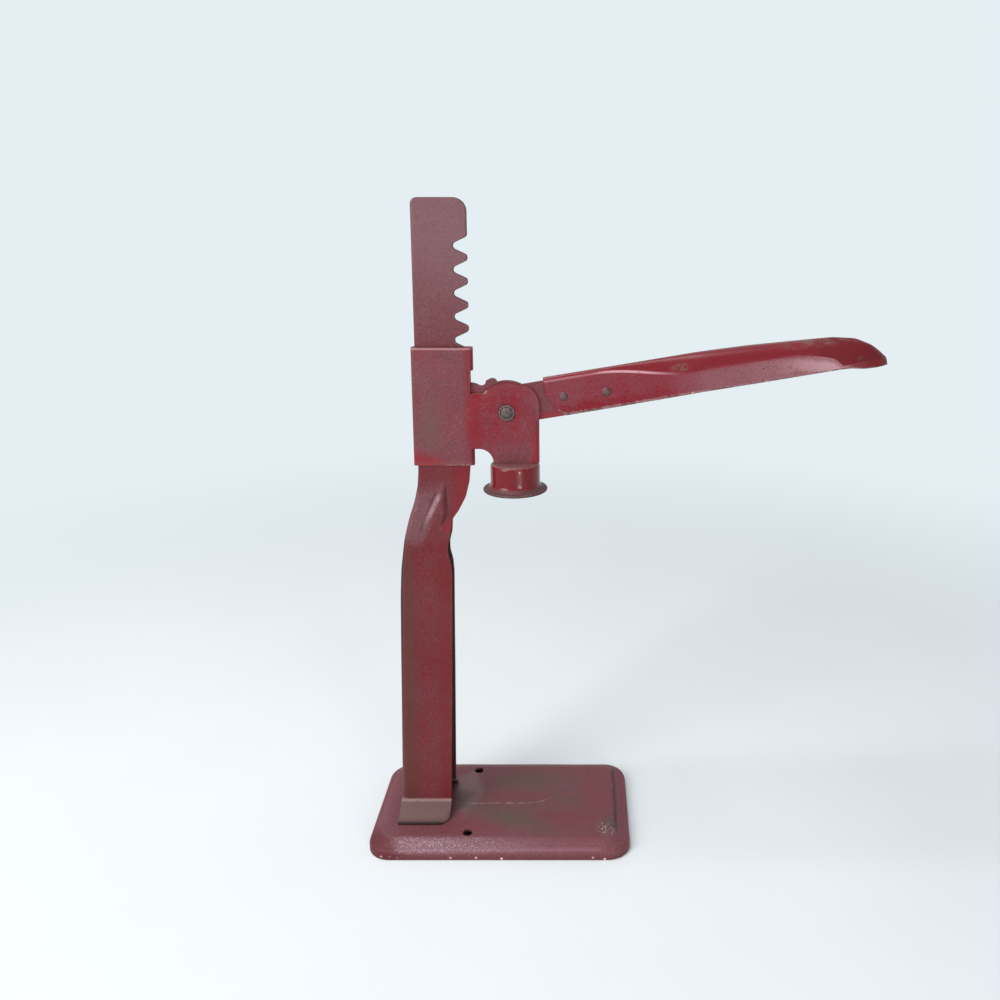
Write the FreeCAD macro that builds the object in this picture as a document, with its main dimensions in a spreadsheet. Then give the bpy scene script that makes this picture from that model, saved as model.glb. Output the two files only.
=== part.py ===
import FreeCAD, Part
import Sketcher
import math
import os

# Bench bottle capper of pressed steel, in millimetres.
# X runs from the column towards the handle, Y away from the viewer, Z up.
# The origin is on the underside of the base, midway between its two screw holes.
# The lever stands at its lowest stop, as it does when a cap has just been closed.

SIZES = {
    # sheet and plate
    "sheet": 1.6,
    "slide_gap": 0.6,
    "side_gap": 0.4,
    "pin_gap": 0.05,
    # base pan
    "base_length": 171.0,
    "base_width": 96.0,
    "base_height": 10.0,
    "base_back": 64.5,
    "base_corner": 15.0,
    "shoulder_run": 8.0,
    "shoulder_drop": 3.8,
    "screw_spacing": 68.0,
    "screw_hole": 6.5,
    # column, from its folded feet up to the squeezed blade
    "column_width": 33.8,
    "column_setback": 16.3,
    "column_lean": 3.4,
    "foot_depth": 11.9,
    "waist_depth": 5.8,
    "foot_height": 8.4,
    "foot_reach": 15.1,
    "foot_lip": 3.0,
    "foot_corner": 8.0,
    "waist_height": 180.0,
    "flare_height": 206.0,
    "blade_start": 243.0,
    # toothed blade
    "blade_back": 31.0,
    "blade_tip": 3.7,
    "blade_height": 419.3,
    "blade_front_corner": 8.5,
    "blade_back_corner": 4.0,
    "gullet_top": 389.9,
    "gullet_depth": 8.8,
    "gullet_count": 9,
    "tooth_pitch": 14.75,
    "tooth_angle": 25.0,
    "tooth_slack": 0.35,
    "tooth_round": 2.2,
    # pivot of the lever on the head
    "pivot_x": 27.0,
    "pivot_z": 284.7,
    "pitch_radius": 27.0,
    "pin_diameter": 6.4,
    "pin_head": 7.4,
    "pin_dome": 1.5,
    "washer_diameter": 10.0,
    "washer_thickness": 0.8,
    # head: sleeve, neck and cheeks in one folded sheet, heights from the pivot
    "sleeve_top": 41.8,
    "sleeve_bottom": 34.7,
    "strap_foot": 27.1,
    "window_step": 2.0,
    "neck_foot": 23.7,
    "neck_sweep": 9.1,
    "cheek_radius": 19.1,
    "cheek_rear_angle": 139.5,
    "cheek_rear": 8.8,
    "cheek_front": 20.7,
    "brow_radius": 16.3,
    "brow_height": 3.9,
    "brow_angle": 52.5,
    "nose_top": 5.4,
    "cheek_bottom": 33.3,
    "sleeve_bend": 2.0,
    "strap_bend": 2.8,
    "nose_bend": 3.5,
    "seam_gap": 0.4,
    # capping bell
    "bell_offset": 4.8,
    "bell_throat": 28.8,
    "bell_height": 18.3,
    "bell_flange": 41.7,
    "bell_flare": 4.4,
    "bell_crown": 2.6,
    "tenon_length": 5.0,
    "tenon_spread": 16.0,
    # lever plate, drawn level and then raised by its angle
    "lever_angle": 9.5,
    "hub_radius": 20.4,
    "sector_tip": 29.8,
    "sector_root": 22.7,
    "sector_step": 24.0,
    "sector_round": 1.5,
    "tail_top": 16.1,
    "tail_bottom": 8.2,
    "tail_end": 69.7,
    "tail_chamfer": 3.0,
    # pressed handle over the tail of the plate
    "grip_start": 26.5,
    "grip_neck": 72.0,
    "grip_end": 243.0,
    "grip_top": 18.1,
    "grip_bottom": 7.8,
    "grip_width": 21.0,
    "grip_bend": 2.0,
    "grip_cut": 11.0,
    "grip_cut_height": 15.5,
    "rivet_rear_x": 37.5,
    "rivet_rear_z": 4.4,
    "rivet_front_x": 64.9,
    "rivet_front_z": 2.9,
    "rivet_shank": 4.0,
    "rivet_head": 6.0,
    "rivet_dome": 1.6,
}


class Size:
    """A size as its number and as the sheet expression that gives it."""

    def __init__(self, value, text):
        self.value = float(value)
        self.text = text

    def __add__(self, other):
        other = as_size(other)
        return Size(self.value + other.value, "(%s + %s)" % (self.text, other.text))

    def __sub__(self, other):
        other = as_size(other)
        return Size(self.value - other.value, "(%s - %s)" % (self.text, other.text))

    def __mul__(self, other):
        other = as_size(other)
        return Size(self.value * other.value, "(%s * %s)" % (self.text, other.text))

    def __truediv__(self, other):
        other = as_size(other)
        return Size(self.value / other.value, "(%s / %s)" % (self.text, other.text))

    def __neg__(self):
        return Size(-self.value, "(0 - %s)" % self.text)

    def __radd__(self, other):
        return as_size(other) + self

    def __rsub__(self, other):
        return as_size(other) - self

    def __rmul__(self, other):
        return as_size(other) * self


def as_size(number):
    if isinstance(number, Size):
        return number
    return Size(number, "%.6f" % number)


def size(name):
    return Size(SIZES[name], "Sizes.%s" % name)


def sine(angle):
    return Size(math.sin(math.radians(angle.value)), "sin(%s)" % angle.text)


def cosine(angle):
    return Size(math.cos(math.radians(angle.value)), "cos(%s)" % angle.text)


def arc_cosine(ratio):
    """The angle in degrees whose cosine is this ratio."""
    return Size(math.degrees(math.acos(ratio.value)), "(acos(%s) / 1 deg)" % ratio.text)


def smaller(first, second):
    return Size(min(first.value, second.value), "min(%s; %s)" % (first.text, second.text))


def square_root(number):
    return Size(math.sqrt(number.value), "sqrt(%s)" % number.text)


def polar(radius, angle):
    """A corner at this radius from the origin, at this angle from the first axis."""
    return (radius * cosine(angle), radius * sine(angle))


doc = FreeCAD.newDocument("bottle_capper")
table = doc.addObject("Spreadsheet::Sheet", "Sizes")
for row, (alias, number) in enumerate(SIZES.items(), start=1):
    table.set("A%d" % row, alias)
    table.set("B%d" % row, str(number))
    table.setAlias("B%d" % row, alias)
doc.recompute()


def bind(item, prop, value):
    """Tie a property of an object to the sheet."""
    item.setExpression(prop, as_size(value).text)


def new_body(name):
    body = doc.addObject("PartDesign::Body", name)
    body.Label = name
    return body


def place(body, x=0.0, z=0.0, angle=None):
    """Put a body at (x, 0, z), its first axis raised by an angle about its own corner."""
    x = as_size(x)
    z = as_size(z)
    turn = FreeCAD.Rotation()
    if angle is not None:
        turn = FreeCAD.Rotation(FreeCAD.Vector(0, -1, 0), angle.value)
    body.Placement = FreeCAD.Placement(FreeCAD.Vector(x.value, 0, z.value), turn)
    bind(body, "Placement.Base.x", x)
    bind(body, "Placement.Base.z", z)
    if angle is not None:
        bind(body, "Placement.Rotation.Angle", angle)


def origin_item(body, role):
    for feature in body.Origin.OriginFeatures:
        if feature.Role == role:
            return feature
    raise ValueError("no origin feature " + role)


def new_sketch(body, name, plane, offset=0.0):
    sketch = body.newObject("Sketcher::SketchObject", name)
    sketch.AttachmentSupport = [(origin_item(body, plane), "")]
    sketch.MapMode = "FlatFace"
    offset = as_size(offset)
    sketch.AttachmentOffset = FreeCAD.Placement(FreeCAD.Vector(0, 0, offset.value), FreeCAD.Rotation())
    bind(sketch, "AttachmentOffset.Base.z", offset)
    return sketch


def hold(sketch, kind, geometry, point, value):
    """One coordinate of a point, held by a dimension tied to the sheet."""
    value = as_size(value)
    index = sketch.addConstraint(Sketcher.Constraint(kind, -1, 1, geometry, point, value.value))
    sketch.setExpression("Constraints[%d]" % index, value.text)


def draw(sketch, corners, arcs=None):
    """A closed outline: each corner has its two dimensions, and each arc its radius.

    arcs maps the number of an edge, counted from the corner it leaves, to (radius, turn):
    turn 1 bends to the left on the way to the next corner and -1 to the right.
    """
    arcs = arcs or {}
    first = sketch.GeometryCount
    count = len(corners)
    flat = [FreeCAD.Vector(as_size(x).value, as_size(y).value, 0) for x, y in corners]
    starts = []
    ends = []
    for k in range(count):
        a = flat[k]
        b = flat[(k + 1) % count]
        if k not in arcs:
            sketch.addGeometry(Part.LineSegment(a, b), False)
            starts.append(1)
            ends.append(2)
            continue
        radius, turn = arcs[k]
        radius = as_size(radius)
        middle = (a + b) * 0.5
        chord = b - a
        reach = math.sqrt(max(radius.value ** 2 - chord.Length ** 2 / 4, 0.0))
        side = FreeCAD.Vector(-chord.y, chord.x, 0).normalize()
        centre = middle + side * reach * turn
        from_angle = math.atan2(a.y - centre.y, a.x - centre.x)
        to_angle = math.atan2(b.y - centre.y, b.x - centre.x)
        circle = Part.Circle(centre, FreeCAD.Vector(0, 0, 1), radius.value)
        if turn < 0:
            from_angle, to_angle = to_angle, from_angle
        if to_angle < from_angle:
            to_angle += 2 * math.pi
        sketch.addGeometry(Part.ArcOfCircle(circle, from_angle, to_angle), False)
        starts.append(1 if turn > 0 else 2)
        ends.append(2 if turn > 0 else 1)
        index = sketch.addConstraint(Sketcher.Constraint("Radius", first + k, radius.value))
        sketch.setExpression("Constraints[%d]" % index, radius.text)
    for k in range(count):
        after = (k + 1) % count
        joined = Sketcher.Constraint("Coincident", first + k, ends[k], first + after, starts[after])
        sketch.addConstraint(joined)
        hold(sketch, "DistanceX", first + k, starts[k], corners[k][0])
        hold(sketch, "DistanceY", first + k, starts[k], corners[k][1])


def draw_circle(sketch, x, y, diameter):
    x = as_size(x)
    y = as_size(y)
    diameter = as_size(diameter)
    centre = FreeCAD.Vector(x.value, y.value, 0)
    circle = Part.Circle(centre, FreeCAD.Vector(0, 0, 1), diameter.value / 2)
    index = sketch.addGeometry(circle, False)
    hold(sketch, "DistanceX", index, 3, x)
    hold(sketch, "DistanceY", index, 3, y)
    held = sketch.addConstraint(Sketcher.Constraint("Diameter", index, diameter.value))
    sketch.setExpression("Constraints[%d]" % held, diameter.text)


def box_corners(x_low, y_low, x_high, y_high):
    return [(x_low, y_low), (x_high, y_low), (x_high, y_high), (x_low, y_high)]


def rounded_box(x_low, y_low, x_high, y_high, radius):
    """Corners and arcs of a rectangle with four rounded corners."""
    corners = [
        (x_low + radius, y_low), (x_high - radius, y_low),
        (x_high, y_low + radius), (x_high, y_high - radius),
        (x_high - radius, y_high), (x_low + radius, y_high),
        (x_low, y_high - radius), (x_low, y_low + radius),
    ]
    return corners, {k: (radius, 1) for k in (1, 3, 5, 7)}


def extrude(body, kind, name, sketch, length, both_ways=True, backwards=False):
    """A pad or a pocket of a sketch."""
    feature = body.newObject("PartDesign::" + kind, name)
    feature.Profile = sketch
    length = as_size(length)
    feature.Length = length.value
    bind(feature, "Length", length)
    feature.Midplane = both_ways
    feature.Reversed = backwards
    return feature


def revolve(body, name, sketch, axis="V_Axis"):
    feature = body.newObject("PartDesign::Revolution", name)
    feature.Profile = sketch
    feature.ReferenceAxis = (sketch, [axis])
    feature.Angle = 360.0
    return feature


def loft(body, kind, name, sections, ruled=False):
    feature = body.newObject("PartDesign::" + kind, name)
    feature.Profile = sections[0]
    feature.Sections = sections[1:]
    feature.Ruled = ruled
    return feature


def edges_where(feature, test):
    """Names of the edges of a feature whose middle point passes the test."""
    names = []
    for number, edge in enumerate(feature.Shape.Edges, start=1):
        low, high = edge.ParameterRange
        if test(edge, edge.valueAt((low + high) / 2)):
            names.append("Edge%d" % number)
    if not names:
        raise ValueError("no edge found on " + feature.Label)
    return names


def soften(body, name, base, edges, radius):
    feature = body.newObject("PartDesign::Fillet", name)
    feature.Base = (base, edges)
    radius = as_size(radius)
    feature.Radius = radius.value
    bind(feature, "Radius", radius)
    return feature


def is_upright(edge):
    low, high = edge.ParameterRange
    run = edge.valueAt(high) - edge.valueAt(low)
    return abs(run.z) > 0.99 * run.Length and run.Length > 0


# Base pan: a drawn sheet with a sloping shoulder, open underneath, two screw holes.
def base_section(body, name, height, inset, corner):
    """One level of the pan's outside or inside."""
    sketch = new_sketch(body, name, "XY_Plane", height)
    x_low = -size("base_back") + inset
    x_high = size("base_length") - size("base_back") - inset
    y_high = size("base_width") / 2 - inset
    corners, arcs = rounded_box(x_low, -y_high, x_high, y_high, corner)
    draw(sketch, corners, arcs)
    return sketch


def pan(body, prefix, inset, top, loft_kind, solid_kind, overshoot):
    """The pan's form, moved in by inset, as a straight skirt and a tapered shoulder."""
    skirt = size("base_height") - size("shoulder_drop")
    corner = size("base_corner") - inset
    foot = base_section(body, prefix + "_skirt", -overshoot, inset, corner)
    extrude(body, solid_kind, prefix + "_wall", foot, skirt - top + overshoot, False, solid_kind == "Pocket")
    low = base_section(body, prefix + "_low", skirt - top, inset, corner)
    run = size("shoulder_run")
    high = base_section(body, prefix + "_high", size("base_height") - top, inset + run, corner - run + 2.0)
    return loft(body, loft_kind, prefix + "_shoulder", [low, high])


def make_base_plate():
    body = new_body("base_plate")
    nothing = as_size(0.0)
    outside = pan(body, "outside", nothing, nothing, "AdditiveLoft", "Pad", nothing)
    doc.recompute()
    rim = size("base_height") - size("shoulder_drop")

    def on_shoulder(edge, middle):
        return abs(middle.z - rim.value) < 0.01

    def on_top(edge, middle):
        return abs(middle.z - SIZES["base_height"]) < 0.01

    lower = soften(body, "shoulder_round", outside, edges_where(outside, on_shoulder), 2.5)
    doc.recompute()
    soften(body, "top_round", lower, edges_where(lower, on_top), 5.0)
    pan(body, "inside", size("sheet"), size("sheet"), "SubtractiveLoft", "Pocket", nothing)
    holes = new_sketch(body, "screw_holes", "XY_Plane", size("base_height") + 1.0)
    for side in (-0.5, 0.5):
        draw_circle(holes, 0.0, side * size("screw_spacing"), size("screw_hole"))
    extrude(body, "Pocket", "drill", holes, size("base_height"), False, False)
    return body


# Column: one sheet folded into a channel, open to the front, squeezed into a flat blade above.
def make_column():
    body = new_body("column")
    nothing = as_size(0.0)
    sheet = size("sheet")
    top_face = size("base_height")
    foot = top_face + size("foot_height")
    blade_back = -size("blade_back")
    lean = size("column_lean")
    setback = size("column_setback") - lean
    waist = size("waist_height")
    width = size("column_width")

    def channel(name, height, back, front, half, corner, inset, open_front):
        """A level of the channel: flat sides, round corners at the back."""
        sketch = new_sketch(body, name, "XY_Plane", height)
        x_low = back + inset
        x_high = front + open_front
        side = half - inset
        radius = corner - inset if corner.value - as_size(inset).value > 0.3 else side * 0.8
        corners = [
            (x_high, -side), (x_high, side), (x_low + radius, side),
            (x_low, side - radius), (x_low, radius - side), (x_low + radius, -side),
        ]
        draw(sketch, corners, {2: (radius, 1), 4: (radius, 1)})
        return sketch

    flare = size("flare_height")
    shin = waist - foot
    knee = flare - waist
    back_foot = blade_back - size("column_setback")
    back_waist = blade_back - setback
    start = size("blade_start")
    taper = start - flare
    split = flare + 0.784 * taper
    front_foot = back_foot + width
    front_waist = back_waist + width
    slim = size("waist_depth")
    belly = 0.4 * size("foot_depth") + 0.6 * slim
    levels = [
        # height, back, front, half depth, back corner
        (foot, back_foot, front_foot, size("foot_depth"), as_size(4.0)),
        (foot + 0.495 * shin, back_foot + 0.4 * lean, front_foot + 0.5 * lean, belly, as_size(4.0)),
        (foot + 0.815 * shin, back_waist - 0.25 * lean, front_waist + 0.1 * lean, slim + 0.35, as_size(4.0)),
        (waist, back_waist, front_waist + 0.2, slim, as_size(4.0)),
        (waist + 0.77 * knee, back_waist + 2.6, front_waist - 2.0, slim - 0.6, as_size(3.6)),
        (flare + 0.216 * taper, back_waist + 6.2, front_waist + 0.6, slim - 1.6, as_size(3.0)),
        (flare + 0.54 * taper, blade_back + 1.4, blade_back + 22.0, slim - 3.0, as_size(2.2)),
        (split, blade_back + 11.0, blade_back + 17.0, sheet * 0.95, as_size(1.4)),
    ]
    outer = []
    inner = []
    for number, (height, back, front, half, corner) in enumerate(levels):
        outer.append(channel("channel_%d" % number, height, back, front, half, corner, nothing, nothing))
    loft(body, "AdditiveLoft", "channel", outer, True)

    blade = new_sketch(body, "blade_outline", "XZ_Plane")
    tip = size("blade_tip")
    peak = size("blade_height")
    front_corner = size("blade_front_corner")
    back_corner = size("blade_back_corner")
    draw(blade, [
        (blade_back + 8.0, flare + 0.054 * taper),
        (tip - 14.6, flare + 0.054 * taper),
        (tip - 12.4, flare + 0.216 * taper),
        (tip - 4.6, flare + 0.581 * taper),
        (tip - 1.0, flare + 0.919 * taper),
        (tip - 0.8, start + 7.0),
        (tip, start + 19.0),
        (tip, peak - front_corner),
        (tip - front_corner, peak),
        (blade_back + back_corner, peak),
        (blade_back, peak - back_corner),
        (blade_back, start),
        (blade_back - 2.8, flare + 0.541 * taper),
        (blade_back - 6.4, flare + 0.243 * taper),
    ], {
        1: (12.0, -1),
        3: (size("column_width") * 0.72, 1),
        7: (front_corner, 1),
        9: (back_corner, 1),
        11: (53.0, -1),
    })
    extrude(body, "Pad", "blade", blade, 2 * sheet)

    for number, (height, back, front, half, corner) in enumerate(levels[:-1]):
        open_front = as_size(6.0) if number < 5 else -sheet
        inner.append(channel("hollow_%d" % number, height, back, front, half, corner, sheet, open_front))
    loft(body, "SubtractiveLoft", "hollow", inner, True)

    tongue = new_sketch(body, "tongue_outline", "XY_Plane", top_face)
    reach = size("foot_depth") - 4.0
    draw(tongue, box_corners(back_foot, -reach, back_foot + sheet, reach))
    extrude(body, "Pad", "tongue", tongue, size("foot_height") + 0.5, False)

    feet = new_sketch(body, "feet_outline", "YZ_Plane", back_foot)
    outer_y = size("foot_depth")
    end_y = outer_y + size("foot_reach")
    lip_y = end_y - size("foot_lip")
    draw(feet, [
        (outer_y - sheet, foot), (lip_y - 0.6 * sheet, top_face), (end_y, top_face),
        (end_y, top_face + sheet), (lip_y, top_face + sheet), (outer_y, foot),
    ])
    draw(feet, [
        (sheet - outer_y, foot), (-outer_y, foot), (-lip_y, top_face + sheet),
        (-end_y, top_face + sheet), (-end_y, top_face), (0.6 * sheet - lip_y, top_face),
    ])
    extrude(body, "Pad", "feet", feet, width, False)

    corners = new_sketch(body, "foot_corners", "XY_Plane", foot + 1.0)
    radius = size("foot_corner")
    draw(corners, [
        (front_foot, end_y - radius), (front_foot + 1.0, end_y - radius),
        (front_foot + 1.0, end_y + 1.0), (front_foot - radius, end_y + 1.0), (front_foot - radius, end_y),
    ], {4: (radius, -1)})
    draw(corners, [
        (front_foot - radius, -end_y), (front_foot - radius, -end_y - 1.0),
        (front_foot + 1.0, -end_y - 1.0), (front_foot + 1.0, radius - end_y), (front_foot, radius - end_y),
    ], {4: (radius, -1)})
    extrude(body, "Pocket", "foot_rounds", corners, size("foot_height") + 2.0, False)

    gullet = new_sketch(body, "gullet_outline", "XZ_Plane")
    draw(gullet, *gullet_form(size("gullet_top")))
    first = extrude(body, "Pocket", "gullet", gullet, 4 * sheet)
    doc.recompute()
    teeth = body.newObject("PartDesign::LinearPattern", "teeth")
    teeth.Originals = [first]
    teeth.Direction = (gullet, ["V_Axis"])
    teeth.Reversed = True
    teeth.Occurrences = SIZES["gullet_count"]
    run = size("tooth_pitch") * (size("gullet_count") - 1)
    teeth.Length = run.value
    bind(teeth, "Length", run)
    bind(teeth, "Occurrences", size("gullet_count"))
    body.Tip = teeth
    return body


def gullet_form(height):
    """One gullet of the blade: slanted flanks, a round bottom and rounded tooth tips beside it."""
    slant = size("tooth_angle")
    tangent = sine(slant) / cosine(slant)
    pitch_line = size("pivot_x") - size("pitch_radius")
    tip = size("blade_tip")
    bottom = tip - size("gullet_depth")
    half_gap = size("tooth_pitch") / 4 + size("tooth_slack") / 2

    def half_width(x):
        return half_gap + (x - pitch_line) * tangent

    bottom_round = half_width(bottom) * cosine(slant) / (1 - sine(slant))
    low_x = bottom + bottom_round * (1 - sine(slant))
    low = bottom_round * cosine(slant)
    tip_round = size("tooth_round")
    crest = half_width(tip - tip_round) + tip_round / cosine(slant)
    high_x = tip - tip_round * (1 - sine(slant))
    high = crest - tip_round * cosine(slant)
    corners = [
        (tip, height + crest), (high_x, height + high), (low_x, height + low),
        (low_x, height - low), (high_x, height - high), (tip, height - crest),
        (tip + 2.0, height - crest), (tip + 2.0, height + crest),
    ]
    return corners, {0: (tip_round, 1), 2: (bottom_round, 1), 4: (tip_round, 1)}


# Head: the sleeve round the blade, the neck and the two cheeks, all one folded sheet.
def make_head_shell():
    body = new_body("head_shell")
    place(body, size("pivot_x"), size("pivot_z"))
    sheet = size("sheet")
    pivot_x = size("pivot_x")
    back_in = -size("blade_back") - size("slide_gap") - pivot_x
    front_in = size("blade_tip") + size("slide_gap") - pivot_x
    back = back_in - sheet
    front = front_in + sheet
    window = front - size("window_step")
    top = size("sleeve_top")
    low = -size("sleeve_bottom")
    neck_foot = -size("neck_foot")
    sweep = size("neck_sweep")
    rear = -size("cheek_rear")
    nose = size("cheek_front")
    seat = -size("cheek_bottom")
    ring = size("cheek_radius")
    neck_x, neck_z = polar(ring, size("cheek_rear_angle"))
    crown_x, crown_z = polar(ring, as_size(88.0))
    brow = size("brow_radius")
    brow_x, brow_z = polar(brow, size("brow_angle"))
    brow_height = size("brow_height")
    corners = [
        (back, low), (front, low), (front, neck_foot), (rear - sweep, neck_foot),
        (rear, neck_foot - sweep), (rear, seat),
    ]
    for side in (-0.5, 0.5):
        middle = size("bell_offset") + side * size("tenon_spread")
        half = size("tenon_length") / 2
        corners += [
            (middle - half, seat), (middle - half, seat - sheet),
            (middle + half, seat - sheet), (middle + half, seat),
        ]
    brow_from = len(corners) + 1
    corners += [
        (nose, seat), (nose, brow_height), (nose - brow + brow_x, brow_height + brow_z),
        (crown_x, crown_z), (neck_x, neck_z), (front, neck_z), (front, top), (back, top),
    ]
    side_view = new_sketch(body, "side_outline", "XZ_Plane")
    draw(side_view, corners, {3: (sweep, -1), brow_from: (brow, 1), brow_from + 2: (ring, 1)})
    inside = 2 * (sheet + size("side_gap"))
    outside = inside + 2 * sheet
    blank = extrude(body, "Pad", "folded_width", side_view, outside)
    doc.recompute()

    def upright_at(x):
        return lambda edge, middle: is_upright(edge) and abs(middle.x - x.value) < 0.01

    base = soften(body, "back_bends", blank, edges_where(blank, upright_at(back)), size("sleeve_bend"))
    doc.recompute()
    soften(body, "strap_bends", base, edges_where(base, upright_at(front)), size("strap_bend"))
    doc.recompute()
    nose_bend = size("nose_bend")
    half = outside / 2
    bends = new_sketch(body, "nose_corners", "XY_Plane", -size("nose_top"))
    draw(bends, [
        (nose - nose_bend, half), (nose, half - nose_bend), (nose + 1.0, half - nose_bend),
        (nose + 1.0, half + 1.0), (nose - nose_bend, half + 1.0),
    ], {0: (nose_bend, -1)})
    draw(bends, [
        (nose, nose_bend - half), (nose - nose_bend, -half), (nose - nose_bend, -half - 1.0),
        (nose + 1.0, -half - 1.0), (nose + 1.0, nose_bend - half),
    ], {0: (nose_bend, -1)})
    extrude(body, "Pocket", "nose_bends", bends, size("cheek_bottom"), False)

    opening = new_sketch(body, "window_outline", "XZ_Plane")
    draw(opening, [
        (window, neck_z), (front + 1.0, neck_z),
        (front + 1.0, size("strap_foot")), (window, size("strap_foot")),
    ])
    extrude(body, "Pocket", "window", opening, 2 * outside)

    cavity = new_sketch(body, "cavity_outline", "XZ_Plane")
    nose_in = nose - sheet
    nose_top = -size("nose_top")
    above = top + 2.0
    below = low - 2.0
    beyond = nose + 10.0
    draw(cavity, [
        (back_in, below), (front_in, below), (front_in, neck_foot), (front + 0.1, neck_foot),
        (front + 0.1, below), (nose_in, below), (nose_in, nose_top), (beyond, nose_top),
        (beyond, above), (front + 0.1, above), (front + 0.1, size("strap_foot")),
        (front_in, size("strap_foot")), (front_in, above), (back_in, above),
    ])
    extrude(body, "Pocket", "cavity", cavity, inside)

    seams = new_sketch(body, "seam_lines", "XZ_Plane")
    draw(seams, box_corners(back - 1.0, below, back_in + 0.5, above))
    draw(seams, box_corners(front_in - 0.5, below, front + 0.1, neck_foot + 0.5))
    draw(seams, box_corners(front_in - 0.5, size("strap_foot") - 0.5, front + 0.1, above))
    extrude(body, "Pocket", "seams", seams, size("seam_gap"))

    bore = new_sketch(body, "pivot_hole", "XZ_Plane")
    draw_circle(bore, 0.0, 0.0, size("pin_diameter") + 2 * size("pin_gap"))
    extrude(body, "Pocket", "pivot_bore", bore, 2 * outside)
    return body


# Bell: a drawn cup with a flared mouth, held under the cheeks by their tenons.
def make_capping_bell():
    body = new_body("capping_bell")
    place(body, size("pivot_x") + size("bell_offset"), size("pivot_z") - size("cheek_bottom"))
    sheet = size("sheet")
    throat = size("bell_throat") / 2
    outer = throat + sheet
    flare = size("bell_flare")
    height = size("bell_height")
    crown = size("bell_crown")
    rim = size("bell_flange") / 2
    turn_z = sheet + flare - height
    profile = new_sketch(body, "bell_profile", "XZ_Plane")
    draw(profile, [
        (0.0, 0.0), (outer - crown, 0.0), (outer, -crown), (outer, turn_z),
        (outer + flare, sheet - height), (rim, sheet - height), (rim, -height),
        (outer + flare, -height), (throat, turn_z), (throat, -crown),
        (throat + sheet - crown, -sheet), (0.0, -sheet),
    ], {1: (crown, -1), 3: (flare, 1), 7: (flare + sheet, -1), 9: (crown - sheet, 1)})
    revolve(body, "bell", profile)
    slots = new_sketch(body, "tenon_slots", "XY_Plane", 1.0)
    half = size("tenon_length") / 2 + size("pin_gap")
    low = sheet + size("side_gap") - size("pin_gap")
    high = low + sheet + 2 * size("pin_gap")
    for side in (-0.5, 0.5):
        middle = side * size("tenon_spread")
        draw(slots, box_corners(middle - half, low, middle + half, high))
        draw(slots, box_corners(middle - half, -high, middle + half, -low))
    extrude(body, "Pocket", "slots", slots, sheet + 2.0, False)
    return body


def domed_pin(name, x, z, shank, head, dome, grip):
    """A rivet along Y with the same dome on both ends, grip being the length between them."""
    body = new_body(name)
    place(body, x, z)
    radius = head / 2
    ball = (radius * radius + dome * dome) / (2 * dome)
    half = grip / 2
    profile = new_sketch(body, name + "_profile", "XY_Plane")
    draw(profile, [
        (0.0, -half - dome), (radius, -half), (shank / 2, -half),
        (shank / 2, half), (radius, half), (0.0, half + dome),
    ], {0: (ball, 1), 4: (ball, 1)})
    revolve(body, name + "_turned", profile)
    return body


def cheek_width():
    """Across the outside faces of the two cheeks."""
    return 4 * size("sheet") + 2 * size("side_gap")


def make_pivot():
    domed_pin(
        "pivot_rivet", size("pivot_x"), size("pivot_z"), size("pin_diameter"),
        size("pin_head"), size("pin_dome"), cheek_width() + 2 * size("washer_thickness"))
    for name, side in (("pivot_washer_near", -1.0), ("pivot_washer_far", 1.0)):
        body = new_body(name)
        place(body, size("pivot_x"), size("pivot_z"))
        ring = new_sketch(body, name + "_outline", "XZ_Plane", -side * (cheek_width() / 2))
        draw_circle(ring, 0.0, 0.0, size("washer_diameter"))
        draw_circle(ring, 0.0, 0.0, size("pin_diameter") + 2 * size("pin_gap"))
        extrude(body, "Pad", name + "_disc", ring, size("washer_thickness"), False, side > 0)


# Lever plate: hub, toothed sector and tail, cut from plate twice as thick as the sheet.
DEGREES = 180 / math.pi
ENGAGED_GULLET = 7


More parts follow.
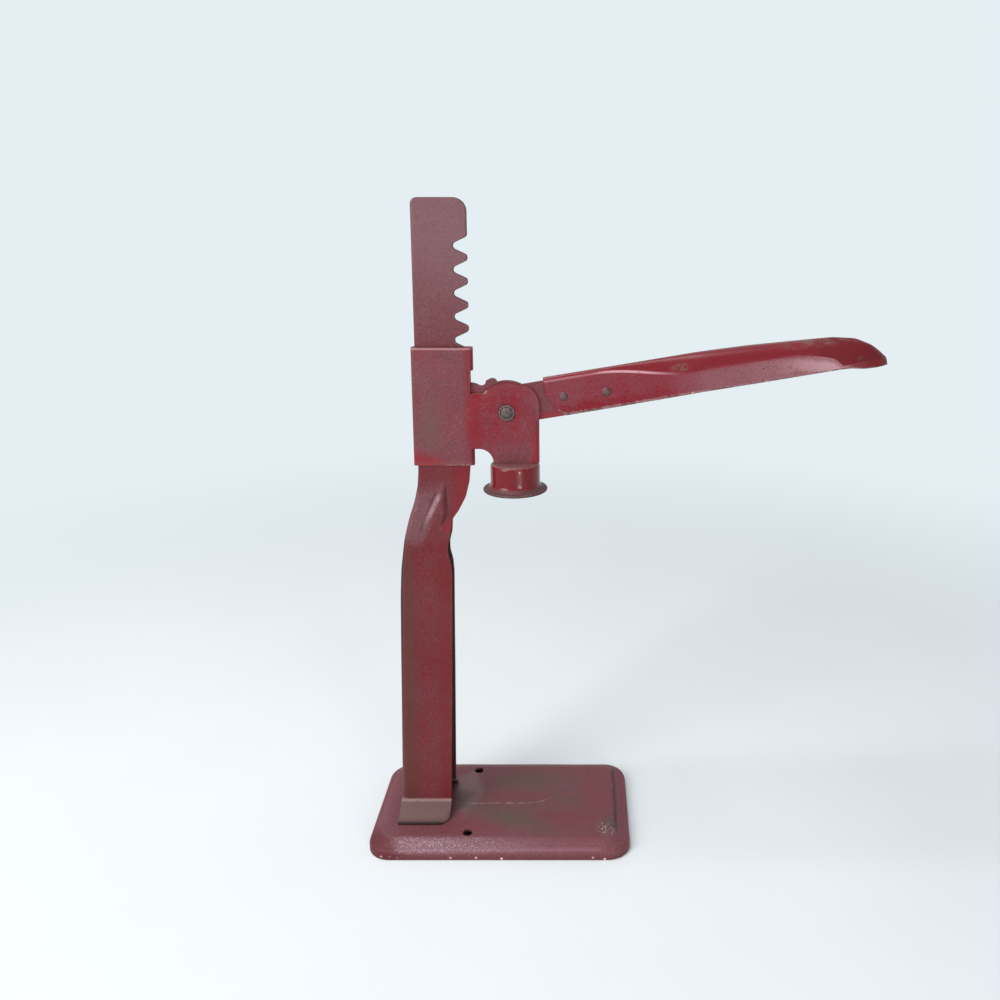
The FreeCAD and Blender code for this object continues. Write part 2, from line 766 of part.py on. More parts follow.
def make_lever_plate():
    body = new_body("lever_plate")
    place(body, size("pivot_x"), size("pivot_z"), size("lever_angle"))
    hub = size("hub_radius")
    heel = size("cheek_front") - size("sheet") - size("side_gap")
    tip = size("sector_tip")
    step = size("sector_step")
    roll = size("pitch_radius")
    pitch = size("tooth_pitch")
    per_tooth = pitch / roll * DEGREES
    rise = size("gullet_top") - ENGAGED_GULLET * pitch - size("pivot_z")
    engaged = 180 - rise / roll * DEGREES - size("lever_angle")
    spaces = [engaged + (number - 1.5) * per_tooth for number in range(4)]
    tail_top = size("tail_top")
    tail_low = size("tail_bottom")
    end = size("tail_end")
    chamfer = size("tail_chamfer")
    outline = new_sketch(body, "plate_outline", "XZ_Plane")
    draw(outline, [
        (square_root(hub * hub - tail_top * tail_top), tail_top),
        polar(hub, spaces[0] - 22.5), polar(step, spaces[0] - 18.7), polar(step, spaces[0]),
        polar(tip, spaces[0]), polar(tip, spaces[3]), polar(heel, spaces[3]),
        (square_root(heel * heel - tail_low * tail_low), -tail_low),
        (end - chamfer, -tail_low), (end, 0.6 * chamfer - tail_low), (end, tail_top - chamfer),
        (end - chamfer, tail_top),
    ], {0: (hub, 1), 2: (step, 1), 4: (tip, 1), 6: (heel, 1)})
    thick = 2 * size("sheet")
    extrude(body, "Pad", "plate", outline, thick)

    slant = size("tooth_angle")
    base = roll * cosine(slant)
    flank = roll * sine(slant)
    tooth_half = (pitch / 2 - size("tooth_slack")) / 2 / roll * DEGREES

    def flank_angle(radius):
        """Angle of the flank at a radius, from the middle of its tooth."""
        ratio = (radius * radius + base * base - flank * flank) / (2 * radius * base)
        return tooth_half - slant + arc_cosine(ratio)

    inner = base * 1.004
    outer = tip * 1.046
    half = per_tooth / 2 - flank_angle(inner)
    chord = inner * sine(half)
    depth = inner * cosine(half) - size("sector_root")
    root_round = (chord * chord + depth * depth) / (2 * depth)
    cuts = new_sketch(body, "tooth_spaces", "XZ_Plane")
    for middle in spaces:
        below = middle - per_tooth / 2
        above = middle + per_tooth / 2
        draw(cuts, [
            polar(outer, below + flank_angle(outer)), polar(inner, below + flank_angle(inner)),
            polar(inner, above - flank_angle(inner)), polar(outer, above - flank_angle(outer)),
        ], {0: (flank, 1), 1: (root_round, -1), 2: (flank, 1)})
    toothed = extrude(body, "Pocket", "teeth", cuts, 2 * thick)
    doc.recompute()

    def on_tooth_tip(edge, middle):
        low, high = edge.ParameterRange
        run = edge.valueAt(high) - edge.valueAt(low)
        across = abs(run.y) > 0.99 * thick.value
        return across and abs(math.hypot(middle.x, middle.z) - tip.value) < 0.02

    half_land = tip * sine(flank_angle(tip))
    soften(
        body, "tooth_tips", toothed, edges_where(toothed, on_tooth_tip),
        smaller(size("sector_round"), 0.8 * half_land))

    holes = new_sketch(body, "plate_holes", "XZ_Plane")
    draw_circle(holes, 0.0, 0.0, size("pin_diameter") + 2 * size("pin_gap"))
    for which in ("rear", "front"):
        draw_circle(
            holes, size("rivet_%s_x" % which), size("rivet_%s_z" % which),
            size("rivet_shank") + 2 * size("pin_gap"))
    extrude(body, "Pocket", "holes", holes, 2 * thick)
    return body


# Handle: a pressed channel, open below, narrow over the lever plate and wide at the grip.
GRIP_SHAPE = [
    # share of the way along the grip, then shares of its top, its foot, its width and its bend
    (0.00, 1.00, 1.00, 0.00, 0.00),
    (0.07, 1.00, 0.98, 0.12, 0.02),
    (0.16, 1.00, 0.88, 0.45, 0.12),
    (0.31, 0.98, 0.76, 0.84, 0.82),
    (0.50, 0.91, 0.76, 0.97, 0.97),
    (0.68, 0.80, 0.76, 1.00, 1.00),
    (0.82, 0.70, 0.74, 1.00, 1.00),
    (0.90, 0.53, 1.02, 0.92, 0.92),
    (0.955, 0.19, 1.12, 0.66, 0.60),
    (0.99, -0.20, 1.14, 0.30, 0.25),
]


def make_handle_grip():
    body = new_body("handle_grip")
    place(body, size("pivot_x"), size("pivot_z"), size("lever_angle"))
    sheet = size("sheet")
    start = size("grip_start")
    neck = size("grip_neck")
    length = size("grip_end") - neck
    top = size("grip_top")
    foot = -size("grip_bottom")
    narrow = 2 * sheet
    wide = size("grip_width") / 2

    def section(name, x, roof, floor, half, bend):
        """One cross-section: straight sides, a flat roof and two bends."""
        sketch = new_sketch(body, name, "YZ_Plane", x)
        draw(sketch, [
            (-half, floor), (half, floor), (half, roof - bend), (half - bend, roof),
            (bend - half, roof), (-half, roof - bend),
        ], {2: (bend, 1), 4: (bend, 1)})
        return sketch

    bend = size("grip_bend")
    stem = section("stem_section", start, top, foot, narrow, bend)
    extrude(body, "Pad", "stem", stem, neck - start, False)
    outer = []
    inner = []
    for number, (along, roof, floor, width, fold) in enumerate(GRIP_SHAPE):
        x = neck + along * length
        half = narrow + width * (wide - narrow)
        full = bend + fold * (wide * 0.8 - bend)
        outer.append(section("grip_%d" % number, x, roof * top, floor * foot, half, full))
        inside = full - sheet * 0.9
        if number == len(GRIP_SHAPE) - 1:
            x = x - sheet
        inner.append((
            "hollow_%d" % number, x, roof * top - sheet, floor * foot - 4.0, half - sheet, inside))
    loft(body, "AdditiveLoft", "grip", outer)
    stem_hollow = section("stem_hollow", start - 1.0, top - sheet, foot - 4.0, narrow - sheet, bend - sheet)
    extrude(body, "Pocket", "stem_inside", stem_hollow, neck - start + 1.0, False, True)
    loft(body, "SubtractiveLoft", "grip_inside", [section(*row) for row in inner])

    cut = size("grip_cut")
    rise = size("grip_cut_height")
    corner = new_sketch(body, "end_corner", "XZ_Plane")
    draw(corner, [
        (start - 1.0, foot - 5.0), (start + cut, foot - 5.0), (start + cut, foot),
        (start, foot + rise), (start - 1.0, foot + rise),
    ], {2: (22.0, -1)})
    extrude(body, "Pocket", "end_cut", corner, 4 * narrow)
    holes = new_sketch(body, "rivet_holes", "XZ_Plane")
    for which in ("rear", "front"):
        draw_circle(
            holes, size("rivet_%s_x" % which), size("rivet_%s_z" % which),
            size("rivet_shank") + 2 * size("pin_gap"))
    extrude(body, "Pocket", "rivet_bores", holes, 4 * narrow)
    return body


def make_handle_rivets():
    lean = size("lever_angle")
    for which in ("rear", "front"):
        x = size("rivet_%s_x" % which)
        z = size("rivet_%s_z" % which)
        domed_pin(
            "handle_rivet_" + which,
            size("pivot_x") + x * cosine(lean) - z * sine(lean),
            size("pivot_z") + x * sine(lean) + z * cosine(lean),
            size("rivet_shank"), size("rivet_head"), size("rivet_dome"), 4 * size("sheet"))


def check_and_write():
    wrong = []
    for item in doc.Objects:
        if "Invalid" in item.State or "Error" in item.State:
            wrong.append(item.Name + " " + ",".join(item.State))
    bodies = [item for item in doc.Objects if item.TypeId == "PartDesign::Body"]
    for body in bodies:
        if body.Shape.isNull() or not body.Shape.isValid():
            wrong.append(body.Label + " has no valid shape")
    for line in wrong:
        print("fault:", line)
    for body in bodies:
        box = body.Shape.BoundBox
        print("%-20s %9.1f mm3  %d solid  x %.1f %.1f y %.1f %.1f z %.1f %.1f" % (
            body.Label, body.Shape.Volume, len(body.Shape.Solids),
            box.XMin, box.XMax, box.YMin, box.YMax, box.ZMin, box.ZMax))
    os.makedirs("parts", exist_ok=True)
    for body in bodies:
        body.Shape.exportStep("parts/%s.step" % body.Label)


for make in (
    make_base_plate, make_column, make_head_shell, make_capping_bell, make_pivot,
    make_lever_plate, make_handle_grip, make_handle_rivets,
):
    make()
    doc.recompute()
check_and_write()
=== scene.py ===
# %% [markdown]
# # A bench bottle capper, dressed for its picture
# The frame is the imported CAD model, in metres: X runs from the column towards the handle, Y away
# from the viewer and Z up. Every piece below is placed by the CAD's own sizes, so it needs no
# fitting. The formed sheets get smooth surfaces worked out with numpy, because the CAD meshes are
# flat triangles. All the paint is procedural.

# %% Load the frame
import math

import bmesh
import bpy
import numpy as np
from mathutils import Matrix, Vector


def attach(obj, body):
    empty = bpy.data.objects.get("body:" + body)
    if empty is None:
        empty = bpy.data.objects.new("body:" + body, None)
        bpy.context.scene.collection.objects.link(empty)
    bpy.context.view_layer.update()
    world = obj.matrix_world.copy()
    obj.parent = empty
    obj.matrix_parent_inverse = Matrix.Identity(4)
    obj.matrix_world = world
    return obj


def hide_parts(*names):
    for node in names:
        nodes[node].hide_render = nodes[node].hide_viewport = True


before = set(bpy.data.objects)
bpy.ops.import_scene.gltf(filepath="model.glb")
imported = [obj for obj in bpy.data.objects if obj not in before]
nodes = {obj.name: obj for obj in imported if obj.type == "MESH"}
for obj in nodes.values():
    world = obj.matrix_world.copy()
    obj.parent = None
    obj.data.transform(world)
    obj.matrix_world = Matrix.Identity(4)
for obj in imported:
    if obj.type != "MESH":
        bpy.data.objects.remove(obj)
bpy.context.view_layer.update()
print("nodes:", sorted(nodes))


def put(name, data):
    """A new object in the scene."""
    made = bpy.data.objects.new(name, data)
    bpy.context.scene.collection.objects.link(made)
    return made


# %% [markdown]
# ## Sizes used all over
# Lengths are in millimetres until a point goes into a mesh. The lever is easiest to describe along
# its own line, so two functions turn a place about the pivot, from the part's frame into the lever's
# and back. They take numbers, arrays and shader values alike.

# %% The sheet and the lever's frame
MM = 0.001
SHEET = 1.6
PIVOT_X = 27.0
PIVOT_Z = 284.7
LEAN_COS = math.cos(math.radians(9.5))
LEAN_SIN = math.sin(math.radians(9.5))


def onto_lever(x, z):
    """Distance from the pivot along the lever, and height above that line."""
    x = x - PIVOT_X
    z = z - PIVOT_Z
    return x * LEAN_COS + z * LEAN_SIN, z * LEAN_COS - x * LEAN_SIN


def off_lever(along, up):
    """The way back, to x and z of the part's frame."""
    return PIVOT_X + along * LEAN_COS - up * LEAN_SIN, PIVOT_Z + along * LEAN_SIN + up * LEAN_COS


def oval(x, y, x0, y0, half_x, half_y):
    """Square of the distance from an oval's middle: 0 in the middle and 1 on the outline."""
    across = (x - x0) / half_x
    along = (y - y0) / half_y
    return across * across + along * along


# %% [markdown]
# ## Shader maths as Python
# A shader is a long sum of masks, so it is easier to read as an expression than as a list of links.
# `Wire` wraps one socket of a node and turns +, -, * and / into Math nodes. `Graph` makes any node
# from its type, its settings and its inputs, and `Finish` is the graph of one material.


# %% The socket operators and the makers of nodes
def operator(operation):
    """A method that sends a wire, and a second value if there is one, through a Math node."""
    return lambda self, other=0.0: self.math(operation, other)


class Wire:
    """One number or colour on its way through a material."""

    def __init__(self, graph, socket):
        self.graph = graph
        self.socket = socket

    def math(self, operation, other=0.0, clamp=False):
        """Any Math node, on this wire and another value."""
        settings = {"operation": operation, "use_clamp": clamp}
        return self.graph.node("ShaderNodeMath", settings, {0: self, 1: other})

    __add__ = __radd__ = operator("ADD")
    __mul__ = __rmul__ = operator("MULTIPLY")
    __sub__ = operator("SUBTRACT")
    __truediv__ = operator("DIVIDE")
    __pow__ = operator("POWER")
    __abs__ = operator("ABSOLUTE")
    most = operator("MAXIMUM")

    def __rsub__(self, other):
        return self * -1.0 + other

    def ramp(self, low, high):
        """0 below low, 1 above high and a smooth step between; low may be the larger one."""
        if low > high:
            return 1.0 - self.ramp(high, low)
        return self.graph.node(
            "ShaderNodeMapRange", {"interpolation_type": "SMOOTHSTEP"},
            {"Value": self, "From Min": low, "From Max": high})

    def clamped(self):
        return self.math("ADD", 0.0, True)


class Graph:
    """The nodes of a material or of the air."""

    def __init__(self, tree):
        self.tree = tree

    def connect(self, value, socket):
        """A wire is linked, and a number or a colour becomes the socket's own value."""
        if isinstance(value, Wire):
            self.tree.links.new(value.socket, socket)
        elif hasattr(socket.default_value, "__len__") and len(socket.default_value) == 4:
            socket.default_value = (*value, 1.0)[:4]
        else:
            socket.default_value = value

    def node(self, kind, settings=None, values=None, output=0):
        """Any node, from its type, its settings and the values or wires of its sockets."""
        made = self.tree.nodes.new(kind)
        for key, value in (settings or {}).items():
            setattr(made, key, value)
        for key, value in (values or {}).items():
            self.connect(value, made.inputs[key])
        return Wire(self, made.outputs[output])

    def seen(self):
        """1 for the camera's rays and for mirrored or refracted ones, 0 for the rest."""
        ray = self.node("ShaderNodeLightPath", output="Is Camera Ray")
        for kind in ("Is Glossy Ray", "Is Transmission Ray"):
            ray = ray.most(self.node("ShaderNodeLightPath", output=kind))
        return ray

    def show(self, share, first, second, end):
        """From the first shader to the second by a share from 0 to 1, into the last node."""
        blend = self.node("ShaderNodeMixShader", None, {0: share, 1: first, 2: second})
        self.connect(blend, self.tree.nodes[end].inputs["Surface"])


class Finish(Graph):
    """A material under construction."""

    def __init__(self, name):
        self.material = bpy.data.materials.new(name)
        self.material.use_nodes = True
        super().__init__(self.material.node_tree)
        self.shader = self.tree.nodes["Principled BSDF"]
        self.shader.inputs["Specular IOR Level"].default_value = 0.28
        self.place = self.node("ShaderNodeTexCoord", output="Object")
        split = self.node("ShaderNodeSeparateXYZ", None, {0: self.place}).socket.node
        self.x, self.y, self.z = (Wire(self, out) / MM for out in split.outputs)

    def grains(self, grain, shift):
        """Object coordinates counted in grains of so many millimetres."""
        return self.node(
            "ShaderNodeMapping", None,
            {"Vector": self.place, "Scale": (1 / grain / MM,) * 3, "Location": shift})

    def noise(self, grain, detail=3.0, rough=0.5, shift=0.0, bend=0.0):
        """Cloudy noise whose lumps are about grain millimetres across."""
        return self.node(
            "ShaderNodeTexNoise", None,
            {"Vector": self.grains(grain, (shift, shift * 0.7, -shift)), "Scale": 1.0,
             "Detail": detail, "Roughness": rough, "Distortion": bend})

    def cells(self, grain, shift=0.0):
        """Distance to scattered points about grain millimetres apart, 0 at each point."""
        return self.node(
            "ShaderNodeTexVoronoi", None,
            {"Vector": self.grains(grain, (shift, -shift, shift * 0.3)), "Scale": 1.0})

    def mix(self, share, low, high):
        """From the low colour to the high one by a share from 0 to 1."""
        settings = {"data_type": "RGBA", "clamp_factor": True}
        return self.node("ShaderNodeMix", settings, {0: share, 6: low, 7: high}, 2)

    def finish(self, colour, roughness, height=None, metallic=0.0, coat=0.0, depth=1.0):
        """Feeds the Principled shader, a height through a Bump node; depth is its unit in millimetres."""
        values = {"Base Color": colour, "Roughness": roughness, "Metallic": metallic, "Coat Weight": coat}
        if height is not None:
            values["Normal"] = self.node(
                "ShaderNodeBump", None, {"Height": height, "Distance": depth * MM, "Strength": 1.0})
        for name, value in values.items():
            self.connect(value, self.shader.inputs[name])
        return self.material


def rgb(red, green, blue):
    """A colour as seen on a screen, 0 to 255, turned into the linear values that a shader takes."""
    share = np.array([red, green, blue]) / 255.0
    linear = np.where(share <= 0.04045, share / 12.92, ((share + 0.055) / 1.055) ** 2.4)
    return tuple(float(part) for part in linear)


# %% [markdown]
# ## Paint
# Every piece had the same glossy red, but it has aged in different ways. Upright flats have chalked to
# a matt mauve, and that pale mauve stands partly for the sheen they reflect, so it is partly painted
# sheen. The bell and the handle stay glossy, grime has settled on the base, and cut edges are worn to
# brown steel with a few pale chips. Some patches are painted light and shade: painted highlights,
# painted reflections, and painted shade in creases, recesses and under edges. So one function lays the
# coats in the order in which they came: red, chalking, specks, rust pricks, the piece's own patches,
# and last the worn edges. A patch is a mask, a colour and a roughness, and its mask is a sum of ramps
# over the piece's own millimetres.

# %% Colours of the old finish
# The first colour is the chalked paint, and on upright flats it is partly painted sheen.
CHALK_AND_SHEEN = rgb(108, 65, 71)
PALE_CHALK = rgb(140, 104, 110)
GRIME = rgb(84, 72, 60)
BARE = rgb(88, 66, 56)
RUST = rgb(66, 38, 30)
CHIP = rgb(208, 180, 172)
SHADE = rgb(34, 22, 22)


# %% Old red paint
def old_paint(
        name, red, amount, gloss, patches, specks=0.5, seed=0.0, coat=0.0, chalk_and_sheen=CHALK_AND_SHEEN,
        worn=(BARE, PALE_CHALK, CHIP)):
    """Chalking share = broad, cloudy and fine noise around the amount, plus the piece's own sum."""
    paint = Finish(name)
    fine = paint.noise(1.7, 4.0, 0.7, seed + 3.1)
    grit = paint.noise(0.75, 2.0, 0.6, seed + 5.3)
    cloud = paint.noise(9.0, 5.0, 0.65, seed + 7.7, bend=0.5)
    broad = paint.noise(42.0, 3.0, 0.55, seed)
    extra, *layers = patches(paint, fine, cloud)
    share = (amount + extra + (broad - 0.5) * 0.7 + (cloud - 0.5) * 0.7 + (fine - 0.5) * 0.9).clamped()
    colour = paint.mix(share, red, chalk_and_sheen)
    deep = tuple(part * 0.45 for part in red)
    colour = paint.mix((cloud * 0.6 + fine * 0.6).ramp(0.56, 0.82) * 0.4, colour, deep)
    colour = paint.mix(grit.ramp(0.46, 0.34) * specks * 0.6, colour, deep)
    dots = grit.ramp(0.55, 0.7) * (0.25 + share * 0.75)
    colour = paint.mix(dots * specks, colour, PALE_CHALK)
    prick = paint.cells(6.3, seed + 9.0).ramp(0.13, 0.05) * broad.ramp(0.42, 0.62)
    colour = paint.mix(prick * 0.8, colour, RUST)
    roughness = gloss + share * 0.2 + (fine - 0.5) * 0.16
    height = fine * 0.10 + grit * 0.06 + cloud * 0.22 + broad * 0.9 - prick * 0.25
    for mask, tone, rough in layers:
        colour = paint.mix(mask, colour, tone)
        roughness = roughness + (rough - roughness) * mask.clamped()
    edge = paint.node("ShaderNodeAttribute", {"attribute_name": "edge"}, None, 2)
    rubbed = (edge * 1.3 + (cloud - 0.5) * 1.1 + (fine - 0.5) * 1.4 - 0.55).ramp(0.0, 0.35)
    colour = paint.mix(rubbed * 0.85, colour, paint.mix(cloud.ramp(0.4, 0.6), worn[0], worn[1]))
    chipped = rubbed * paint.noise(2.2, 2.0, 0.5, seed + 11.0).ramp(0.62, 0.68)
    colour = paint.mix(chipped * 0.7, colour, worn[2])
    roughness = roughness + rubbed * 0.12
    varnish = (1.0 - share) * coat if coat else 0.0
    return paint.finish(colour, roughness, height - rubbed * 0.2, coat=varnish, depth=0.3)


# %% What the base has of its own
def base_patches(paint, fine, cloud):
    """Grey-green grime in soft patches, brighter red beside them, a scratch and a knocked corner, with
    painted sheen, painted glints and a painted highlight line on the front shoulder, and painted shade
    in the step at the right end.
    """
    x, y, z = paint.x, paint.y, paint.z
    top = z.ramp(8.4, 9.5)
    drift = paint.noise(16.0, 4.0, 0.6, 31.0)
    dust = paint.noise(1.3, 3.0, 0.65, 37.0)
    wobble = (cloud - 0.5) * 1.5 + (fine - 0.5) * 1.1 + (drift - 0.5) * 2.2

    def patch(x0, y0, half_x, half_y, lean=0.0):
        """1 at the middle of a leaning oval, fading to 0 at about one and a half of its halves."""
        leaning = oval(x, y - (x - x0) * lean, x0, y0, half_x, half_y)
        return (1.0 - leaning * 0.5 + wobble * 0.8).ramp(-0.7, 1.2) * top

    grime = patch(34, 21, 22, 8.5, 0.1).most(patch(26, -18, 22, 8, -0.35)).most(patch(64, 1, 7, 4) * 0.7)
    grime = grime.most(patch(-4, 12, 8, 16) * 0.25).most(patch(30, 8, 46, 30) * 0.3)
    grime = grime * (0.45 + dust.ramp(0.36, 0.6) * 0.6)
    dusty = patch(-5, 10, 7, 16)
    fresh = patch(32, 4, 14, 5).most(patch(4, -28, 16, 6)).most(patch(58, -19, 18, 6))
    fresh = fresh.most(patch(84, 6, 8, 26))
    bend = ((x - 38) / 15).clamped()
    line = abs(y + 4.4 - (x + 12) * 0.02 - bend * bend * 4.5 - (cloud - 0.5) * 1.2)
    scratch = line.ramp(0.7, 0.1) * x.ramp(-12, -6) * x.ramp(54, 48) * top * fine.ramp(0.42, 0.62)
    # Painted light on the front shoulder: a paler, glossier zone that fades to the right (painted sheen),
    # painted glints scattered in it, and a painted highlight line low on the shoulder.
    front = z.ramp(9.9, 9.4) * z.ramp(3.6, 6.0) * y.ramp(-36, -40) * (x + wobble * 3).ramp(-50, -42)
    grains = paint.noise(0.9, 2.0, 0.6, 8.0).ramp(0.5, 0.66)
    shoulder_glints = front * grains * (x + wobble * 9).ramp(60, -26)
    gloss = abs(z - 6.4 + (fine - 0.5) * 0.8).ramp(0.9, 0.2) * y.ramp(-40, -43)
    gloss = gloss * x.ramp(-44, -24) * x.ramp(92, 84)
    red_corner = z.ramp(9.6, 8.9) * ((x + 50) * -1.0 - (y + 34) + wobble * 5).ramp(-2, 9)
    # Painted shade: a dark line down the step at the right end.
    crease = abs(x - 97.6 + (cloud - 0.5) * 1.4).ramp(1.9, 0.3) * z.ramp(6.6, 7.6)
    crease = crease * y.ramp(-34, -26) * y.ramp(42, 32)
    knock = (1.0 - oval(x, y, 91.5, -27, 7, 11) + wobble * 0.5).ramp(-0.3, 0.9) * z.ramp(7, 8.5)
    skirt = z.ramp(3.4, 1.2)
    rim_chip = skirt * paint.cells(5.0, 2.0).ramp(0.22, 0.12) * y.ramp(-46, -47)
    return [
        grime * -0.1, (dusty * 0.6, rgb(140, 116, 114), 0.6), (fresh * 0.4, rgb(116, 36, 48), 0.45),
        (red_corner * 0.75, rgb(88, 20, 28), 0.5),
        (grime * 0.85, GRIME, 0.62), (scratch * 0.5, CHIP, 0.5), (crease * 0.65, SHADE, 0.6),
        (front * x.ramp(96, -30) * 0.3, rgb(134, 100, 110), 0.32), (gloss * 0.25, rgb(156, 112, 128), 0.3),
        (shoulder_glints * 0.5, rgb(190, 168, 178), 0.25), (knock * 0.7, rgb(88, 72, 64), 0.7),
        (knock * fine.ramp(0.56, 0.64) * (x + y).ramp(68, 62), CHIP, 0.6),
        (skirt * 0.5, rgb(84, 34, 40), 0.5), (rim_chip, CHIP, 0.6),
    ]


# %% What the column has of its own
def column_patches(paint, fine, cloud):
    """Chalky above the sleeve, deep crimson below it, grey feet. Much of it is painted light: the lit
    slope beside the rib chalkier, a painted highlight on the rib and painted shade with grime in its
    crease, painted reflection across the lower wall, greenish brown at the back and dark crimson at
    the front, brighter red as painted light from the right along the front edge, a painted highlight
    where the feet bend out, and painted shade under the feet's edge and on the channel's inner faces.
    """
    x, y, z = paint.x, paint.y, paint.z
    wobble = (cloud - 0.5) * 9.0
    above = (z + wobble * 0.4).ramp(316, 336) * 0.45 + z.ramp(330, 420) * 0.5
    ridge = x + 20.5 - (z - 217) * 0.42
    # Painted light: the slope beside the rib is chalkier, paler where it faces up into the light.
    slope = (z + wobble).ramp(240, 226) * (z + wobble).ramp(190, 206)
    slope = slope * (ridge + wobble * 0.1).ramp(2.5, -3.5)
    # A dark line in the rib's left crease: painted shade in the crease, and grime.
    crease = abs(x + 21.7 - (z - 227.5) * 0.4).ramp(1.3, 0.2) * z.ramp(203, 209) * z.ramp(234, 229)
    # Painted highlight: a pale glossy streak along the rib's upper left flank.
    rib_highlight = abs(x + 18.9 - (z - 226.8) * 0.5).ramp(2.5, 0.3) * z.ramp(207, 223) * z.ramp(233, 228)
    feet = z.ramp(18.6, 17.8)
    # Painted reflection: greenish brown at the back of the lower wall and dark crimson at its front stand
    # for the light the gently bowed wall reflects.
    painted_reflection_back = (x + wobble * 0.35).ramp(-31, -40) * z.ramp(204, 190) * z.ramp(18, 20)
    painted_reflection_front = (x + wobble * 0.12).ramp(-23, -17) * z.ramp(206, 196) * z.ramp(18, 20)
    # Painted light from the right: brighter red along the front edge, from 214 to 290 mm up.
    edge = (x - (z - 235) * 0.12 + wobble * 0.3).ramp(-13, -2.5) * z.ramp(300, 290) * z.ramp(205, 214)
    notch = (1.0 - oval(x, z, -11, 209, 5, 6)).ramp(0.0, 0.9)
    # Painted highlight: a pale line along the bend where the feet leave the wall.
    fold_highlight = abs(z - 18.2 + (fine - 0.5) * 1.2).ramp(1.3, 0.2)
    # Painted shadow: near black under the feet's lower edge.
    foot_edge_shadow = (abs(y) + (fine - 0.5) * 1.2).ramp(25.4, 26.3) * z.ramp(16, 14)
    # Painted shade: the inner faces of the channel are made near black.
    rise = z - 18.4
    inner = 10.3 - rise * 0.052 + rise * rise * 0.000095
    channel_shade = (abs(y) - inner).ramp(0.9, 0.4) * z.ramp(204, 198) * x.ramp(-46, -44) * z.ramp(17, 18)
    return [
        above + slope * 0.9 + feet * 0.6, (z.ramp(330, 400) * 0.4, rgb(128, 98, 102), 0.5),
        (painted_reflection_back * 0.6, rgb(80, 44, 34), 0.5), (painted_reflection_front * 0.4, rgb(104, 12, 20), 0.38),
        (edge * 0.5, rgb(128, 12, 26), 0.32), (notch * 0.5, rgb(130, 16, 28), 0.4),
        (crease * 0.6, rgb(58, 30, 32), 0.6), (rib_highlight * fine.ramp(0.25, 0.6) * 0.6, rgb(184, 146, 150), 0.3),
        (feet * 0.65, rgb(92, 76, 70), 0.6), (fold_highlight * 0.45, rgb(178, 150, 146), 0.5),
        (foot_edge_shadow * 0.85, SHADE, 0.7), (channel_shade * 0.8, SHADE, 0.7),
    ]


# %% What the head has of its own
def head_patches(paint, fine, cloud):
    """Chalky sleeve with grey-green in its lower left, bright red corners, neck and cheek, and painted
    light: brighter red on the sleeve's rounded front bend and on the nose as painted light from the
    right, and a painted highlight along the top edge.
    """
    x, y, z = paint.x, paint.y, paint.z
    wobble = (cloud - 0.5) * 10.0 + (fine - 0.5) * 4.0
    cheek = (x + wobble * 0.5).ramp(-2, 10)
    corner = (z + (x + 33) * 0.25 + wobble * 0.6).ramp(264, 253) * x.ramp(-4, -18)
    foot = (z + wobble * 0.5).ramp(255, 251)
    green = (1.0 - oval(x, z, -22, 276, 10, 20) + wobble * 0.08).ramp(-0.4, 1.2)
    # Painted light from the right: brighter red on the sleeve's rounded front bend and on the nose.
    strap_light = (x + wobble * 0.3).ramp(-2.0, 4.5) * x.ramp(14, 6)
    nose = (x - 41.8 - (z - 252) * 0.19 + wobble * 0.25).ramp(-2.0, 2.2) * z.ramp(284, 274)
    ring = oval(x, z, PIVOT_X, PIVOT_Z, 1, 1) ** 0.5
    low = (z + wobble * 0.6).ramp(268, 256) * cheek
    mottled = paint.noise(5.0, 4.0, 0.7, 44.0).ramp(0.46, 0.68) * cheek
    # Painted highlight: a pale line along the sleeve's top bend.
    top_edge_highlight = abs(z - 325.6 + (fine - 0.5) * 0.8).ramp(0.9, 0.3) * x.ramp(7, 3)
    foot_line = z.ramp(252.0, 250.5) * fine.ramp(0.4, 0.6) * x.ramp(-16, -8) * x.ramp(8, 6)
    neck = (abs(z - 298.2).ramp(1.4, 0.5) * x.ramp(4, 7) * x.ramp(16, 13)) * fine.ramp(0.42, 0.52)
    grease = ring.ramp(6.6, 5.0)
    return [
        cheek * -0.5 + low * 0.35 + strap_light * -0.3 + mottled * 0.35 + ring.ramp(17, 8) * -0.1,
        (green * 0.4, rgb(98, 76, 64), 0.6), (corner * 0.9, rgb(136, 16, 28), 0.35),
        (foot * 0.35, rgb(116, 76, 72), 0.5), (strap_light * 0.35, rgb(120, 18, 32), 0.35),
        (nose * 0.75, rgb(146, 12, 26), 0.3), (top_edge_highlight * 0.5, rgb(190, 146, 146), 0.4),
        (foot_line * 0.35, rgb(160, 124, 116), 0.5), (neck * 0.8, CHIP, 0.5), (grease * 0.6, SHADE, 0.55),
    ]


# %% What the bell and the lever have of their own
def bell_patches(paint, fine, cloud):
    """Dust on the shoulder of the bell and on its flange, and a darker bottom edge under the flange."""
    z = paint.z
    rim = (z + (fine - 0.5) * 0.8).ramp(249.8, 251.0)
    flange = (z + (fine - 0.5) * 0.8).ramp(237.6, 235.4)
    under = z.ramp(234.2, 233.5)
    return [
        rim * 0.7 + flange * 0.9, (rim * fine.ramp(0.4, 0.6) * 0.6, rgb(132, 104, 100), 0.6),
        (flange * 0.85, rgb(84, 50, 50), 0.62), (under * 0.7, rgb(58, 44, 42), 0.6),
    ]


def plate_patches(paint, fine, cloud):
    """The plate's edge is worn brown, its face is greasy near the cheeks and red low down."""
    along, up = onto_lever(paint.x, paint.z)
    edge = abs(paint.y).ramp(1.5, 1.2)
    low = (up + (cloud - 0.5) * 5.0).ramp(-2.0, -6.0) * along.ramp(10, 18)
    return [
        edge * 0.2 - low * 0.4, (edge * 0.6, rgb(98, 76, 66), 0.6),
        (cloud.ramp(0.48, 0.64) * 0.15, GRIME, 0.5), (low * 0.6, rgb(136, 20, 40), 0.4),
    ]


